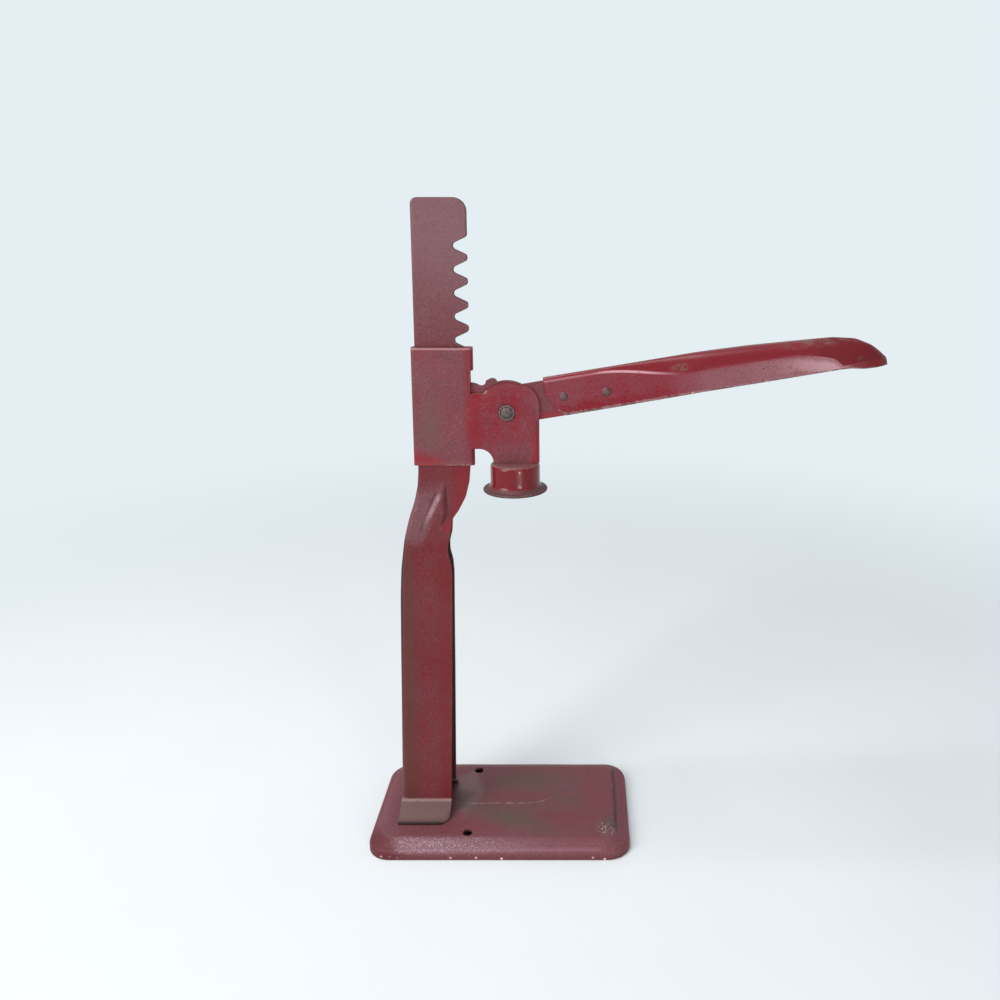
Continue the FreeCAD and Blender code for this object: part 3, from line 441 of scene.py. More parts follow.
def handle_patches(paint, fine, cloud):
    """Deep red above a pressed crest that falls away and chalky pink below it, a split that is partly
    painted light: the side pale as a painted reflection, the top deeper red as painted shade. Also a
    painted highlight along the crest, a pale painted highlight low down before the tip, painted shade
    deepening the red at the tip, and brown worn places on the crown and round the tip."""
    along, up = onto_lever(paint.x, paint.z)
    wobble = (cloud - 0.5) * 2.0 + (fine - 0.5)
    fall = ((along - 186) / 27).clamped()
    crest = 15.7 - along.ramp(60, 125) * 9.0 - fall * 6.5 - fall ** 8.0 * 5.0
    off = up - crest + wobble * 0.15
    # Painted highlight: a pale line along the pressed crest.
    ridge = abs(off).ramp(1.2, 0.2) * along.ramp(116, 86) * (0.35 + along.ramp(56, 72) * 0.65)
    # Partly painted light: more chalking on the faces below the crest, a painted reflection that makes the
    # side pale; above the crest the top loses chalking and keeps a deeper red, as painted shade.
    stem = (off - wobble).ramp(1.0, -1.5) * (up + wobble * 2).ramp(-5, 3) * along.ramp(112, 66)
    side = (off + wobble).ramp(2.0, -2.0) * along.ramp(95, 130) * along.ramp(222, 214)
    low = (up + wobble * 2).ramp(2, -4) * along.ramp(150, 70)
    above = off.ramp(0.3, 1.6) * along.ramp(26, 60)
    # Painted highlight: a pale glossy patch low on the side before the tip.
    highlight_band = (off + 5.5 + wobble * 0.4) / 5.0
    rubbed = (1.0 - highlight_band * highlight_band).ramp(0.0, 1.0) * along.ramp(165, 204) * along.ramp(220, 211)
    brown = (1.0 - oval(along, up, 113, 11, 8, 3) + wobble).ramp(-0.2, 0.9) * cloud.ramp(0.4, 0.55)
    crown = (up + (along - 190) * 0.05 + wobble * 1.4).ramp(9.5, 12.5) * along.ramp(172, 196)
    nose = (oval(along, up, 205, -6, 38, 20) + wobble * 0.08).ramp(0.72, 0.98) * along.ramp(198, 212)
    crown = (crown * along.ramp(216, 206)).most(nose) * cloud.ramp(0.36, 0.58)
    tip = (along + wobble * 2 + abs(up + 4.0) * 0.12).ramp(238, 243)
    # Painted shade: the red deepens towards the tip.
    dark = along.ramp(212, 226)
    matt = above * along.ramp(188, 202)
    spots = paint.cells(17.0, 3.0).ramp(0.16, 0.06) * along.ramp(100, 120) * cloud.ramp(0.45, 0.6)
    foot = (up + wobble * 0.6).ramp(-4.6, -5.6) * along.ramp(90, 110) * along.ramp(222, 214)
    return [
        stem * 0.22 + side * 0.5 - low * 0.1 - above * 0.3 - dark * 0.3,
        (above * 0.55, rgb(104, 20, 30), 0.42), (dark * 0.5, rgb(88, 12, 18), 0.5),
        (matt * 0.85, rgb(98, 12, 22), 0.8),
        (ridge * 0.85, rgb(208, 158, 164), 0.3),
        (ridge * fine.ramp(0.54, 0.64) * along.ramp(60, 76) * 0.7, rgb(104, 76, 68), 0.5),
        (rubbed * 0.35, rgb(190, 136, 148), 0.22),
        (brown * fine.ramp(0.4, 0.58) * 0.7, rgb(104, 72, 62), 0.5),
        (crown * 0.7, rgb(110, 76, 68), 0.5), (tip * 0.8, rgb(84, 62, 56), 0.6),
        (spots * 0.7, rgb(92, 66, 58), 0.5), (foot * fine.ramp(0.4, 0.6) * 0.5, rgb(190, 140, 150), 0.4),
    ]


def bare_steel(name, low, high):
    """Old rivet steel: brown grey, brighter on high spots, with dirt in a ring round the pivot's dome."""
    metal = Finish(name)
    fine = metal.noise(0.9, 4.0, 0.6)
    cloud = metal.noise(3.0, 3.0, 0.6, 5.0)
    ring = oval(metal.x, metal.z, PIVOT_X, PIVOT_Z, 1, 1) ** 0.5
    dirt = abs(ring - 3.9).ramp(0.6, 0.2)
    colour = metal.mix(fine.ramp(0.35, 0.7), low, high)
    colour = metal.mix(cloud.ramp(0.52, 0.7) * 0.4, colour, RUST)
    colour = metal.mix(dirt * 0.7, colour, SHADE)
    return metal.finish(colour, 0.45 + cloud * 0.3, fine * 0.3, metallic=0.35, depth=0.2)


# %% One finish for each node
washer_steel = bare_steel("washer_steel", rgb(96, 76, 76), rgb(136, 116, 116))
grip_rivet_steel = bare_steel("grip_rivet_steel", rgb(84, 56, 58), rgb(126, 92, 94))
paints = {
    "base_plate": old_paint("chalky_base_paint", rgb(112, 36, 46), 0.75, 0.42, base_patches, seed=1.0),
    "column": old_paint(
        "column_paint", rgb(102, 18, 24), 0.2, 0.4, column_patches, seed=4.0,
        worn=(BARE, rgb(94, 78, 76), PALE_CHALK)),
    "head_shell": old_paint("head_paint", rgb(122, 16, 32), 0.7, 0.4, head_patches, seed=8.0),
    "capping_bell": old_paint(
        "bell_paint", rgb(112, 2, 10), 0.02, 0.22, bell_patches, 0.25, seed=13.0, coat=0.15,
        worn=(BARE, rgb(92, 72, 70), PALE_CHALK)),
    "lever_plate": old_paint("lever_plate_paint", rgb(108, 26, 34), 0.5, 0.5, plate_patches, seed=21.0),
    "handle_grip": old_paint(
        "handle_paint", rgb(120, 8, 26), 0.15, 0.26, handle_patches, 0.45, seed=17.0,
        chalk_and_sheen=rgb(126, 72, 82)),
    "pivot_rivet": bare_steel("bare_rivet_steel", rgb(72, 60, 58), rgb(116, 102, 100)),
    "pivot_washer_near": washer_steel,
    "pivot_washer_far": washer_steel,
    "handle_rivet_rear": grip_rivet_steel,
    "handle_rivet_front": grip_rivet_steel,
}


def give_paint(mesh, node_name):
    """The paint of a node becomes the only material of a mesh."""
    mesh.materials.clear()
    mesh.materials.append(paints[node_name])


for node_name in paints:
    give_paint(nodes[node_name].data, node_name)
print("painted nodes:", sorted(paints))

# %% [markdown]
# ## Formed sheet as grids
# Each formed sheet is a grid of points: one direction runs round the section of the sheet, outside
# face, cut edge, inside face and cut edge again, and the other direction runs along the piece.
# The points are whole numpy arrays in millimetres, and one helper turns an array into a mesh.


# %% Where the sheet bends sharply
MERGE = 2e-6
SMOOTH_BELOW = 38


def read(items, name, kind=float, width=1):
    """One property of all points, faces or loops of a mesh, a row for each."""
    values = np.empty(len(items) * width, kind)
    items.foreach_get(name, values)
    return values.reshape(-1, width)


def write_edges(mesh, share):
    """Keeps a share for each point, from 0 to 1, as the attribute that the paint reads."""
    marks = mesh.attributes.get("edge") or mesh.attributes.new("edge", "FLOAT", "POINT")
    marks.data.foreach_set("value", share.astype(np.float32))


def mark_edges(mesh, worn=None):
    """Writes the attribute "edge": how far the faces at a point turn away from the point's own
    normal, as a share from 8 to 20 degrees. The piece's own rule, worn, may change the share."""
    starts = read(mesh.polygons, "loop_start", int)[:, 0]
    totals = read(mesh.polygons, "loop_total", int)[:, 0]
    points = read(mesh.loops, "vertex_index", int)[:, 0]
    order = np.argsort(starts)
    owners = np.repeat(order, totals[order])
    faces = read(mesh.polygons, "normal", width=3)[owners]
    mean = np.zeros((len(mesh.vertices), 3))
    np.add.at(mean, points, faces)
    mean /= np.maximum(np.linalg.norm(mean, axis=1), 1e-9)[:, None]
    facing = np.ones(len(mesh.vertices))
    np.minimum.at(facing, points, np.sum(faces * mean[points], axis=1))
    angle = np.degrees(np.arccos(np.clip(facing, -1, 1)))
    share = np.clip((angle - 8) / 12, 0, 1)
    if worn:
        share = worn(share, *(read(mesh.vertices, "co", width=3).T / MM))
    write_edges(mesh, share)


# %% A mesh takes the place of a CAD node
def stand_in(name, mesh, body, node_name, bend):
    """An object that moves with its body and hides its node. Bends over so many degrees stay crisp."""
    give_paint(mesh, node_name)
    mesh.polygons.foreach_set("use_smooth", [True] * len(mesh.polygons))
    mesh.set_sharp_from_angle(angle=math.radians(bend))
    piece = put(name, mesh)
    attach(piece, body)
    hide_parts(node_name)
    print(name, "has", len(mesh.vertices), "points")
    return piece


def smooth_mesh(name, grids, body, node_name, worn=None):
    """Joins grids into one piece. A grid is (points, faces) or points[row, column, 3] that close
    round the columns. Vertices that meet are merged, and the faces are turned outwards."""
    corners = []
    quads = []
    count = 0
    for grid in grids:
        if isinstance(grid, tuple):
            points, faces = grid
        else:
            rows, columns, _ = grid.shape
            points = grid.reshape(-1, 3)
            index = np.arange(rows * columns).reshape(rows, columns)
            after = np.roll(index, -1, axis=1)
            faces = np.stack([index[:-1], after[:-1], after[1:], index[1:]], axis=-1).reshape(-1, 4)
        corners.append(points * MM)
        quads += [tuple(int(k) + count for k in face) for face in faces]
        count += len(points)
    mesh = bpy.data.meshes.new(name)
    mesh.from_pydata(np.concatenate(corners).tolist(), [], quads)
    work = bmesh.new()
    work.from_mesh(mesh)
    bmesh.ops.remove_doubles(work, verts=work.verts, dist=MERGE)
    bmesh.ops.recalc_face_normals(work, faces=work.faces)
    work.to_mesh(mesh)
    work.free()
    mark_edges(mesh, worn)
    return stand_in(name, mesh, body, node_name, SMOOTH_BELOW)


# %% Curves
def blended(x, stops, width):
    """A table of stops read as straight lines, then averaged over a width, so its bends are round."""
    stops = np.array(stops, float)
    spread = np.linspace(-0.5, 0.5, 21) * width
    share = np.cos(spread / width * math.pi) ** 2
    samples = np.interp(np.add.outer(x, spread), stops[:, 0], stops[:, 1])
    return samples @ (share / share.sum())


def smooth_step(x, low, high):
    """0 below low, 1 above high, and between them three squares less two cubes of the way gone."""
    share = np.clip((x - low) / (high - low), 0.0, 1.0)
    return share * share * (3 - 2 * share)


def quarter(count):
    """Angles from 0 to a right angle."""
    return np.linspace(0, math.pi / 2, count)


def arch(radius, off):
    """Height of a circle above its diameter, at a distance off from the middle."""
    return np.sqrt(np.clip(radius ** 2 - off ** 2, 0, None))


def square_to(line):
    """Unit vectors square to a line of points, to the right of its run."""
    run = np.gradient(line, axis=0)
    run /= np.linalg.norm(run, axis=1)[:, None]
    return np.stack([run[:, 1], -run[:, 0]], axis=1)


# %% [markdown]
# ## Base pan
# The pan is drawn from one sheet, so its section is carried round a rounded rectangle: the inside
# face from its middle out to the rim, then the outside face back up the skirt, over the shoulder
# and across the top. Every ring is the same rectangle moved in by some inset. The two screw holes
# are drilled afterwards with a cutter.

# %% Base pan
BASE_BACK = 64.5
BASE_LENGTH = 171.0
BASE_HALF = 48.0
BASE_CORNER = 15.0
BASE_TOP = 10.0
SCREW_SPACING = 68.0
SCREW_HOLE = 6.5


def rectangle_ring(inset, corner):
    """A rounded rectangle by the angle of its normal: a corner point plus the corner's radius
    along the normal, with each straight side shared out evenly between its two corners."""
    half_x = BASE_LENGTH / 2 - inset
    half_y = BASE_HALF - inset
    corner = min(corner, half_y)
    middle_x = BASE_LENGTH / 2 - BASE_BACK
    arcs = []
    for turns, (side_x, side_y) in enumerate(((1, 1), (-1, 1), (-1, -1), (1, -1))):
        angle = quarter(9) + turns * math.pi / 2
        arcs.append(np.stack([
            middle_x + side_x * (half_x - corner) + corner * np.cos(angle),
            side_y * (half_y - corner) + corner * np.sin(angle)], axis=1))
    share = np.linspace(0, 1, 27)[1:-1, None]
    ring = []
    for arc, following in zip(arcs, arcs[1:] + arcs[:1]):
        ring += [arc, arc[-1] + (following[0] - arc[-1]) * share]
    return np.concatenate(ring)


def base_wear(share, x, y, z):
    """The rims of the screw holes hold dirt and aren't rubbed."""
    return share * (np.hypot(x, np.abs(y) - SCREW_SPACING / 2) > SCREW_HOLE)


def make_base():
    """Each point of the section is (inset, height) and becomes one ring. The top is then
    raised and lowered by slow sines, and by bell curves where it is knocked or hollow."""
    lift = np.linspace(0, 1, 8)
    top = np.linspace(18.0, BASE_HALF, 12)
    outside = np.vstack([
        [(0.0, 1.0), (0.0, 2.2), (0.0, 3.6)],
        np.column_stack([lift ** 1.35 * 2.6, 4.4 + 2.5 * (1 - (1 - lift) ** 2)]),
        [(4.0, 7.75), (5.4, 8.5), (6.8, 9.1), (7.6, 9.35), (8.2, 9.55), (8.8, 9.68), (9.3, 9.78),
         (9.8, 9.85), (10.6, 9.94), (11.6, BASE_TOP), (14.0, BASE_TOP)],
        np.column_stack([top, np.full(len(top), BASE_TOP)])])
    inside = outside + square_to(outside) * SHEET
    inside = inside[inside[:, 0] < BASE_HALF - 0.5]
    rim = [(SHEET, 0.6), (1.45, 0.12), (1.1, 0.0), (0.5, 0.0), (0.15, 0.12), (0.0, 0.5)]
    rings = []
    for inset, height in np.vstack([[BASE_HALF, BASE_TOP - SHEET], inside[::-1], rim, outside]):
        flat = rectangle_ring(inset, max(BASE_CORNER - 0.72 * inset, 0.02))
        rings.append(np.column_stack([flat, np.full(len(flat), height)]))
    grid = np.array(rings)
    x, y, z = grid[..., 0], grid[..., 1], grid[..., 2]
    wave = 0.18 * np.sin(x / 23.0 + 1.0) * np.sin(y / 17.0) + 0.12 * np.sin(x / 9.0 - y / 14.0)
    knock = np.exp(-oval(x, y, 92.0, -28.0, 5.0, 5.5))
    hollow = np.exp(-oval(x, y, 97.5, -22.0, 3.5, 9.0))
    ledge = smooth_step(x, 96.4, 98.2) * (1 - smooth_step(np.abs(y - 1), 32, 42))
    z += smooth_step(z, 3.0, 8.0) * (wave * 0.6 + 1.3 * knock - 0.9 * hollow - 1.1 * ledge - 0.25)
    pan = smooth_mesh("pressed_base", [grid], "stand", "base_plate")
    drill(pan, [(0, -SCREW_SPACING / 2), (0, SCREW_SPACING / 2)], SCREW_HOLE, base_wear)


def drill(piece, places, diameter, worn):
    """Round holes straight down through a piece, cut by cylinders that are then thrown away."""
    cutter = bpy.data.meshes.new("cutter")
    work = bmesh.new()
    for x, y in places:
        made = bmesh.ops.create_cone(
            work, cap_ends=True, segments=40, radius1=diameter / 2 * MM, radius2=diameter / 2 * MM,
            depth=30 * MM)
        bmesh.ops.translate(work, verts=made["verts"], vec=(x * MM, y * MM, 8 * MM))
    work.to_mesh(cutter)
    work.free()
    tool = put("cutter", cutter)
    cut = piece.modifiers.new("holes", "BOOLEAN")
    cut.operation = "DIFFERENCE"
    cut.solver = "EXACT"
    cut.object = tool
    bpy.context.view_layer.update()
    drilled = bpy.data.meshes.new_from_object(piece.evaluated_get(bpy.context.evaluated_depsgraph_get()))
    piece.modifiers.clear()
    old = piece.data
    piece.data = drilled
    bpy.data.meshes.remove(old)
    bpy.data.objects.remove(tool)
    drilled.set_sharp_from_angle(angle=math.radians(SMOOTH_BELOW))
    mark_edges(drilled, worn)


make_base()

# %% [markdown]
# ## Column
# One sheet folded lengthwise. Low down it is a channel that is open towards the bell; above 240 mm
# the two sides are squeezed together into a blade, and the blade's front edge carries nine gullets
# for the lever's teeth. The section is a U whose half depth, front and back are functions of the
# height, and a pressed rib swells out of the blade's plane on the way down.

# %% Outline of the column and its gullets
FOOT_FOLD = 18.4
BLADE_TOP = 419.3
BLADE_BACK = -31.0
BLADE_TIP = 3.7
GULLET_TOP = 389.9
GULLET_PITCH = 14.75
GULLETS = 9
GULLET_BOTTOM = -5.1
GULLET_ROUND = 2.33
GULLET_HALF = 6.989
FLANK_START = (2.111, -3.755)
FLANK_END = (4.995, 2.43)
TOOTH_ROUND = 2.2
FRONT_CORNER = 8.5
BACK_CORNER = 4.0
BACK_ROUND = 4.0
CUT_ROUND = 0.3
FOOT_END = 27.0
FOOT_BEND = -21.5
FOOT_CORNER = 8.0
BACK_WALL = (-47.3, -45.7)
WALL_HALF = 7.9
WALL_TOP = 18.9
BACK_LINE = [
    (0, -47.6), (18.4, -47.3), (121, -45.8), (160, -45.0), (180, -43.9), (200, -41.2), (214, -37.8),
    (226, -33.9), (236, -31.7), (246, -31.0), (440, -31.0),
]
FRONT_LINE = [
    (0, -13.7), (18.4, -13.5), (104, -11.4), (176, -10.0), (184, -10.6), (191, -12.3), (197, -12.3),
    (203, -10.8), (211, -9.9), (213.5, -9.4), (219, -5.4), (228, -0.7), (238, 1.8), (246, 2.6),
    (262, 3.4), (270, 3.7), (440, 3.7),
]
SWELL = [(0, 10.3), (18.4, 10.3), (100, 6.6), (150, 4.9), (185, 4.35), (440, 4.2)]
RIB_LEFT = [(150, -56), (185, -41), (197, -35), (206.5, -30.2), (213, -27.8), (227.5, -21.9), (236, -16.8),
            (244, -13)]
RIB_RIGHT = [(150, 8), (190, -8), (199, -15), (207.9, -16.6), (218, -13.1), (229.5, -12.8), (244, -12.6)]


def gullet_rows():
    """Heights at which the toothed edge is sampled: close together on the flanks and rounds."""
    near = np.array([0, 0.6, 1.2, 1.7, FLANK_START[0], 2.9, 3.6, 4.3, FLANK_END[0], 5.3, 5.7, 6.2, 6.6,
                     GULLET_HALF])
    spots = np.concatenate([-near[:0:-1], near])
    centres = GULLET_TOP - GULLET_PITCH * np.arange(GULLETS)
    return (centres[:, None] + spots).ravel()


def blade_front(height):
    """The blade's front edge: gullets as a round bottom, slanted flanks and rounded tips, and a
    rounded corner at the top. A flank's ends are (distance from the gullet's middle, x)."""
    x = blended(height, FRONT_LINE, 3.0)
    centre = GULLET_TOP - GULLET_PITCH * np.clip(
        np.round((GULLET_TOP - height) / GULLET_PITCH), 0, GULLETS - 1)
    off = np.abs(height - centre)
    (start, start_x), (end, end_x) = FLANK_START, FLANK_END
    bottom = GULLET_BOTTOM + GULLET_ROUND - arch(GULLET_ROUND, off)
    flank = start_x + (off - start) * (end_x - start_x) / (end - start)
    tip = BLADE_TIP - TOOTH_ROUND + arch(TOOTH_ROUND, GULLET_HALF - off)
    notch = np.select([off < start, off < end, off < GULLET_HALF], [bottom, flank, tip], BLADE_TIP)
    x = np.where((off < GULLET_HALF) & (height > 262), np.minimum(x, notch), x)
    top = BLADE_TIP - FRONT_CORNER + arch(FRONT_CORNER, height - (BLADE_TOP - FRONT_CORNER))
    return np.where(height > BLADE_TOP - FRONT_CORNER, np.minimum(x, top), x)


def blade_back(height):
    """The blade's back edge, with a rounded corner at the top."""
    x = blended(height, BACK_LINE, 12.0)
    top = BLADE_BACK + BACK_CORNER - arch(BACK_CORNER, height - (BLADE_TOP - BACK_CORNER))
    return np.where(height > BLADE_TOP - BACK_CORNER, np.maximum(x, top), x)


# %% Column
def column_grid():
    """Rows are heights. Columns run along the near outside face from the front edge to the back,
    round the back, along the far outside face, over the cut edge and back inside."""
    top_arc = BLADE_TOP - FRONT_CORNER * (1 - np.sin(quarter(12)))
    back_arc = BLADE_TOP - BACK_CORNER * (1 - np.sin(quarter(8)))
    rows = np.concatenate([
        np.linspace(FOOT_FOLD, 150, 24), np.linspace(153, 196, 22), np.linspace(197, 244, 63),
        np.linspace(246, 258, 8), [261.5, 264], gullet_rows(), [398.5, 403, 407], top_arc, back_arc])
    rows = np.unique(np.round(rows, 3))
    height = rows[np.concatenate([[True], np.diff(rows) > 0.02])][:, None]
    front = blade_front(height)
    back = blade_back(height)
    swell = blended(height, SWELL, 14.0)
    left = blended(height, RIB_LEFT, 4.0)
    right = blended(height, RIB_RIGHT, 4.0)
    bow = 0.35 * np.sin(math.pi * np.clip((height - 20) / 180, 0, 1)) * (height < 200)
    slope = swell * smooth_step(height, 241, 203)
    step = swell * smooth_step(height, 217, 204)
    crown = swell * smooth_step(height, 240, 229)

    def depth(x):
        """Half depth of the channel at x. It rises from the blade's to the channel's on a long slope
        at the back and on a short one at the front, and a rib stands between two creases."""
        ahead = smooth_step(x, right - 2.6, right + 2.6)
        ground = slope * (1 - ahead) + step * ahead
        share = np.clip((x - left) / np.maximum(right - left, 1.0), 0, 1)
        rib = np.clip(np.sin(math.pi * share ** 0.8), 0, 1) ** 0.75
        across = np.clip((x - back) / (front - back), 0, 1)
        return SHEET + ground + np.clip(crown - ground, 0, None) * rib - bow * np.sin(math.pi * across)

    share = np.linspace(0, 1, 54)
    turn = quarter(7)[1:]
    corner_depth = depth(back + np.minimum(BACK_ROUND, SHEET + swell * 0.9))
    corner = np.minimum(BACK_ROUND, corner_depth)
    faces = []
    for inset in (0.0, SHEET):
        radius = np.maximum(corner - inset, 0.05)
        flat_x = front + (back + corner - front) * share
        flat_y = -np.maximum(depth(flat_x) - inset, 0.04)
        arc_x = back + inset + radius * (1 - np.sin(turn))
        arc_y = np.minimum(corner - corner_depth - radius * np.cos(turn), -0.04)
        flat_x[:, :1] = front - CUT_ROUND
        faces.append(np.stack([np.hstack([flat_x, arc_x]), np.hstack([flat_y, arc_y])], axis=-1))
    outer, inner = faces
    turn = quarter(4)[:0:-1]
    lip_x = front - CUT_ROUND * (1 - np.sin(turn))
    lip_y = CUT_ROUND * (1 - np.cos(turn))
    lips = np.stack([
        np.hstack([lip_x, lip_x]), np.hstack([inner[:, :1, 1] - lip_y, outer[:, :1, 1] + lip_y])], axis=-1)
    mirror = np.array([1.0, -1.0])
    loop = np.hstack([
        outer, outer[:, ::-1] * mirror, lips[:, ::-1] * mirror, inner * mirror, inner[:, ::-1], lips])
    grid = np.concatenate([loop, np.broadcast_to(height[:, :, None], loop.shape[:2] + (1,))], axis=-1)
    return grid, 2 * outer.shape[1], lips.shape[1]


def foot(side):
    """One splayed foot: the wall's sheet bent outwards, down a slope and onto the base."""
    middle = np.array([(11.1, 18.4), (11.1, 18.0), (11.3, 17.4), (11.9, 16.8), (13.2, 16.1), (17.0, 14.2),
                       (20.8, 12.3), (22.6, 11.35), (23.8, 10.9), (25.0, 10.8), (26.6, 10.8)])
    out = middle - square_to(middle) * SHEET / 2
    under = middle + square_to(middle) * SHEET / 2
    loop = np.vstack([out, [(FOOT_END, 11.4), (FOOT_END + 0.1, 11.0), (FOOT_END, 10.4)], under[::-1]])
    x = np.concatenate([[-47.3, -47.2, -46.9], np.linspace(-45, FOOT_BEND, 12),
                        FOOT_BEND + FOOT_CORNER * np.sin(quarter(14))[1:]])[:, None]
    start = FOOT_END + 0.1 - FOOT_CORNER
    reach = start + arch(FOOT_CORNER, np.clip(x - FOOT_BEND, 0, FOOT_CORNER))
    share = np.clip((loop[:, 0] - start) / FOOT_CORNER, 0, 1)
    y = np.where(loop[:, 0] > start, start + share * (reach - start), loop[:, 0])
    grid = np.stack([np.broadcast_to(x, y.shape), side * y, np.broadcast_to(loop[:, 1], y.shape)], axis=-1)
    faces = [(k, k + 1, len(loop) - 2 - k, len(loop) - 1 - k) for k in range(len(out))]
    return [grid] + [(grid[row], faces) for row in (0, -1)]


def column_wear(share, x, y, z):
    """The creases beside the rib are pressed, not worn, and dirt covers the feet, but the teeth above
    320 mm are rubbed for a millimetre along their whole outline."""
    inland = blade_front(z) - x
    pressed = smooth_step(z, 185, 192) * (1 - smooth_step(z, 244, 250)) * (inland > 1.5)
    teeth = (1 - smooth_step(inland, 0.5, 1.8)) * (z > 320)
    return np.maximum(share * (1 - pressed) * (z > 19.5), teeth * 0.7)


def make_column():
    """Joins the folded sheet, closed at its top and bottom, its two feet, and the channel's back
    wall, which goes down between the feet to the base."""
    grid, half, lip = column_grid()
    last = grid.shape[1] - lip - 1
    faces = [(k, k + 1, last - 1 - k, last - k) for k in range(half - 1)]
    outside, inside = BACK_WALL
    wall = np.array([
        [(outside, -WALL_HALF, z), (inside, -WALL_HALF, z), (inside, WALL_HALF, z),
         (outside, WALL_HALF, z)]
        for z in (BASE_TOP, WALL_TOP)])
    grids = [grid] + [(grid[row], faces) for row in (0, -1)] + foot(-1) + foot(1)
    grids += [wall] + [(end, [(0, 1, 2, 3)]) for end in wall]
    smooth_mesh("folded_column", grids, "stand", "column", column_wear)


make_column()

# %% [markdown]
# ## Handle
# The handle is a channel pressed from sheet, open below. Over the lever plate it is narrow with
# crisp bends; then it widens, its bends grow into a round back, and at the end it closes like the
# bowl of a spoon. Its section is made the same way all along: outside face, cut edge, inside face.
# Roof, foot, half width and bend are read from tables by the distance from the pivot.

# %% Handle
GRIP_START = 26.5
OPEN_CUT = 11.0
OPEN_RISE = 15.5
RIM_IN = 0.4
RIM_DOWN = 0.35
GRIP_ROOF = [(26.5, 18.1), (72, 18.1), (100, 18.05), (125, 17.7), (158, 16.5), (188, 14.5), (212, 12.7),
             (226, 9.6), (235, 4.2), (240.5, -1.6), (243, -5.6)]
GRIP_FOOT = [(26.5, -7.8), (72, -7.7), (85, -7.3), (99, -6.8), (125, -5.95), (212, -5.8), (218, -6.2),
             (226, -7.9), (234, -8.7), (243, -8.9)]
GRIP_HALF = [(26.5, 3.2), (72, 3.2), (84, 4.4), (99, 6.6), (125, 9.3), (158, 10.3), (188, 10.5),
             (218, 10.4), (229, 9.0), (237, 6.6), (241, 4.4), (243, 2.6)]
GRIP_BEND = [(26.5, 2.0), (72, 2.4), (90, 4.4), (102, 6.2), (125, 8.4), (158, 9.2), (212, 9.2), (229, 8.2),
             (238, 5.4), (243, 2.2)]
GRIP_DROP = [(26.5, 2.2), (60, 2.4), (72, 3.4), (90, 6.2), (102, 9.0), (120, 10.6), (158, 10.0), (212, 9.6),
             (229, 8.4), (238, 5.4), (243, 2.2)]
CREASE = [(26.5, 18), (66, 20), (78, 34), (98, 38), (112, 22), (130, 0), (243, 0)]


def handle_wear(share, x, y, z):
    """Paint wears off the lower rim, the open end and the tip, not off the pressed crease."""
    along, up = onto_lever(x, z)
    return share * np.maximum.reduce([up < -3.5, (along < 40.0) * 0.45, along > 236.0])


def make_handle():
    """Rows follow the lever. The open end's lower corner is cut off by OPEN_CUT and OPEN_RISE, and the
    sheet's lower rim is rounded by two points, RIM_IN from its faces and RIM_DOWN below them."""
    x = np.unique(np.concatenate([
        np.linspace(GRIP_START, GRIP_START + OPEN_CUT, 23), np.linspace(38, 70, 9),
        np.linspace(72, 215, 72), np.linspace(216, 242.6, 38)]))[:, None]
    roof = blended(x, GRIP_ROOF, 7.0)
    half = blended(x, GRIP_HALF, 9.0)
    bend = np.minimum(blended(x, GRIP_BEND, 9.0), half - 0.15)
    drop = blended(x, GRIP_DROP, 9.0)
    crease = np.radians(blended(x, CREASE, 8.0))
    cut = 1 - np.clip((x - GRIP_START) / OPEN_CUT, 0, 1)
    floor = blended(x, GRIP_FOOT, 5.0) + OPEN_RISE * cut ** 1.5
    turn = crease + (math.pi / 2 - crease) * np.linspace(0, 1, 13)[1:]
    over = (np.cos(crease) - np.cos(turn)) / np.cos(crease)
    under = 1 - (np.sin(turn) - np.sin(crease)) / (1 - np.sin(crease))
    faces = []
    for inset in (0.0, SHEET):
        width = half - inset
        reach = np.maximum(bend - inset, 0.3)
        fall = np.maximum(drop - inset, 0.3)
        ceiling = roof - inset
        side_z = floor + (ceiling - fall - floor) * np.linspace(0, 1, 9)
        flat_y = (reach - width) * (1 - np.linspace(0, 1, 5)[1:])
        y = np.hstack([np.broadcast_to(-width, side_z.shape), reach * over - width, flat_y])
        z = np.hstack([side_z, ceiling - fall * under, np.broadcast_to(ceiling, flat_y.shape)])
        faces.append([np.hstack([y, -y[:, -2::-1]]), np.hstack([z, z[:, -2::-1]])])
    (out_y, out_z), (in_y, in_z) = faces
    crown = 0.5 * smooth_step(x, 90, 140) * (1 - (out_y / half) ** 2)
    out_z = out_z + crown
    in_z = in_z + crown
    y = np.hstack([out_y, out_y[:, -1:] - RIM_IN, in_y[:, -1:] + RIM_IN,
                   in_y[:, ::-1], in_y[:, :1] - RIM_IN, out_y[:, :1] + RIM_IN])
    z = np.hstack([out_z, out_z[:, -1:] - RIM_DOWN, in_z[:, -1:] - RIM_DOWN,
                   in_z[:, ::-1], in_z[:, :1] - RIM_DOWN, out_z[:, :1] - RIM_DOWN])
    x, z = off_lever(x, z)
    grid = np.stack([x, y, z], axis=-1)
    face = out_y.shape[1]
    last = y.shape[1] - 1
    open_end = [(k, k + 1, last - 3 - k, last - 2 - k) for k in range(face - 1)]
    open_end += [(face - 1, face, face + 1, face + 2), (last - 1, last, 0, last - 2)]
    closed = [(k, k + 1, face - 2 - k, face - 1 - k) for k in range(face // 2)]
    closed += [(face + 2 + k, face + 3 + k, 2 * face - k, 2 * face + 1 - k) for k in range(face // 2)]
    closed += [(face - 1, face, last, 0), (face, face + 1, last - 1, last),
               (face + 1, face + 2, last - 2, last - 1)]
    smooth_mesh(
        "pressed_handle", [grid, (grid[0], open_end), (grid[-1], closed)], "lever", "handle_grip",
        handle_wear)


make_handle()

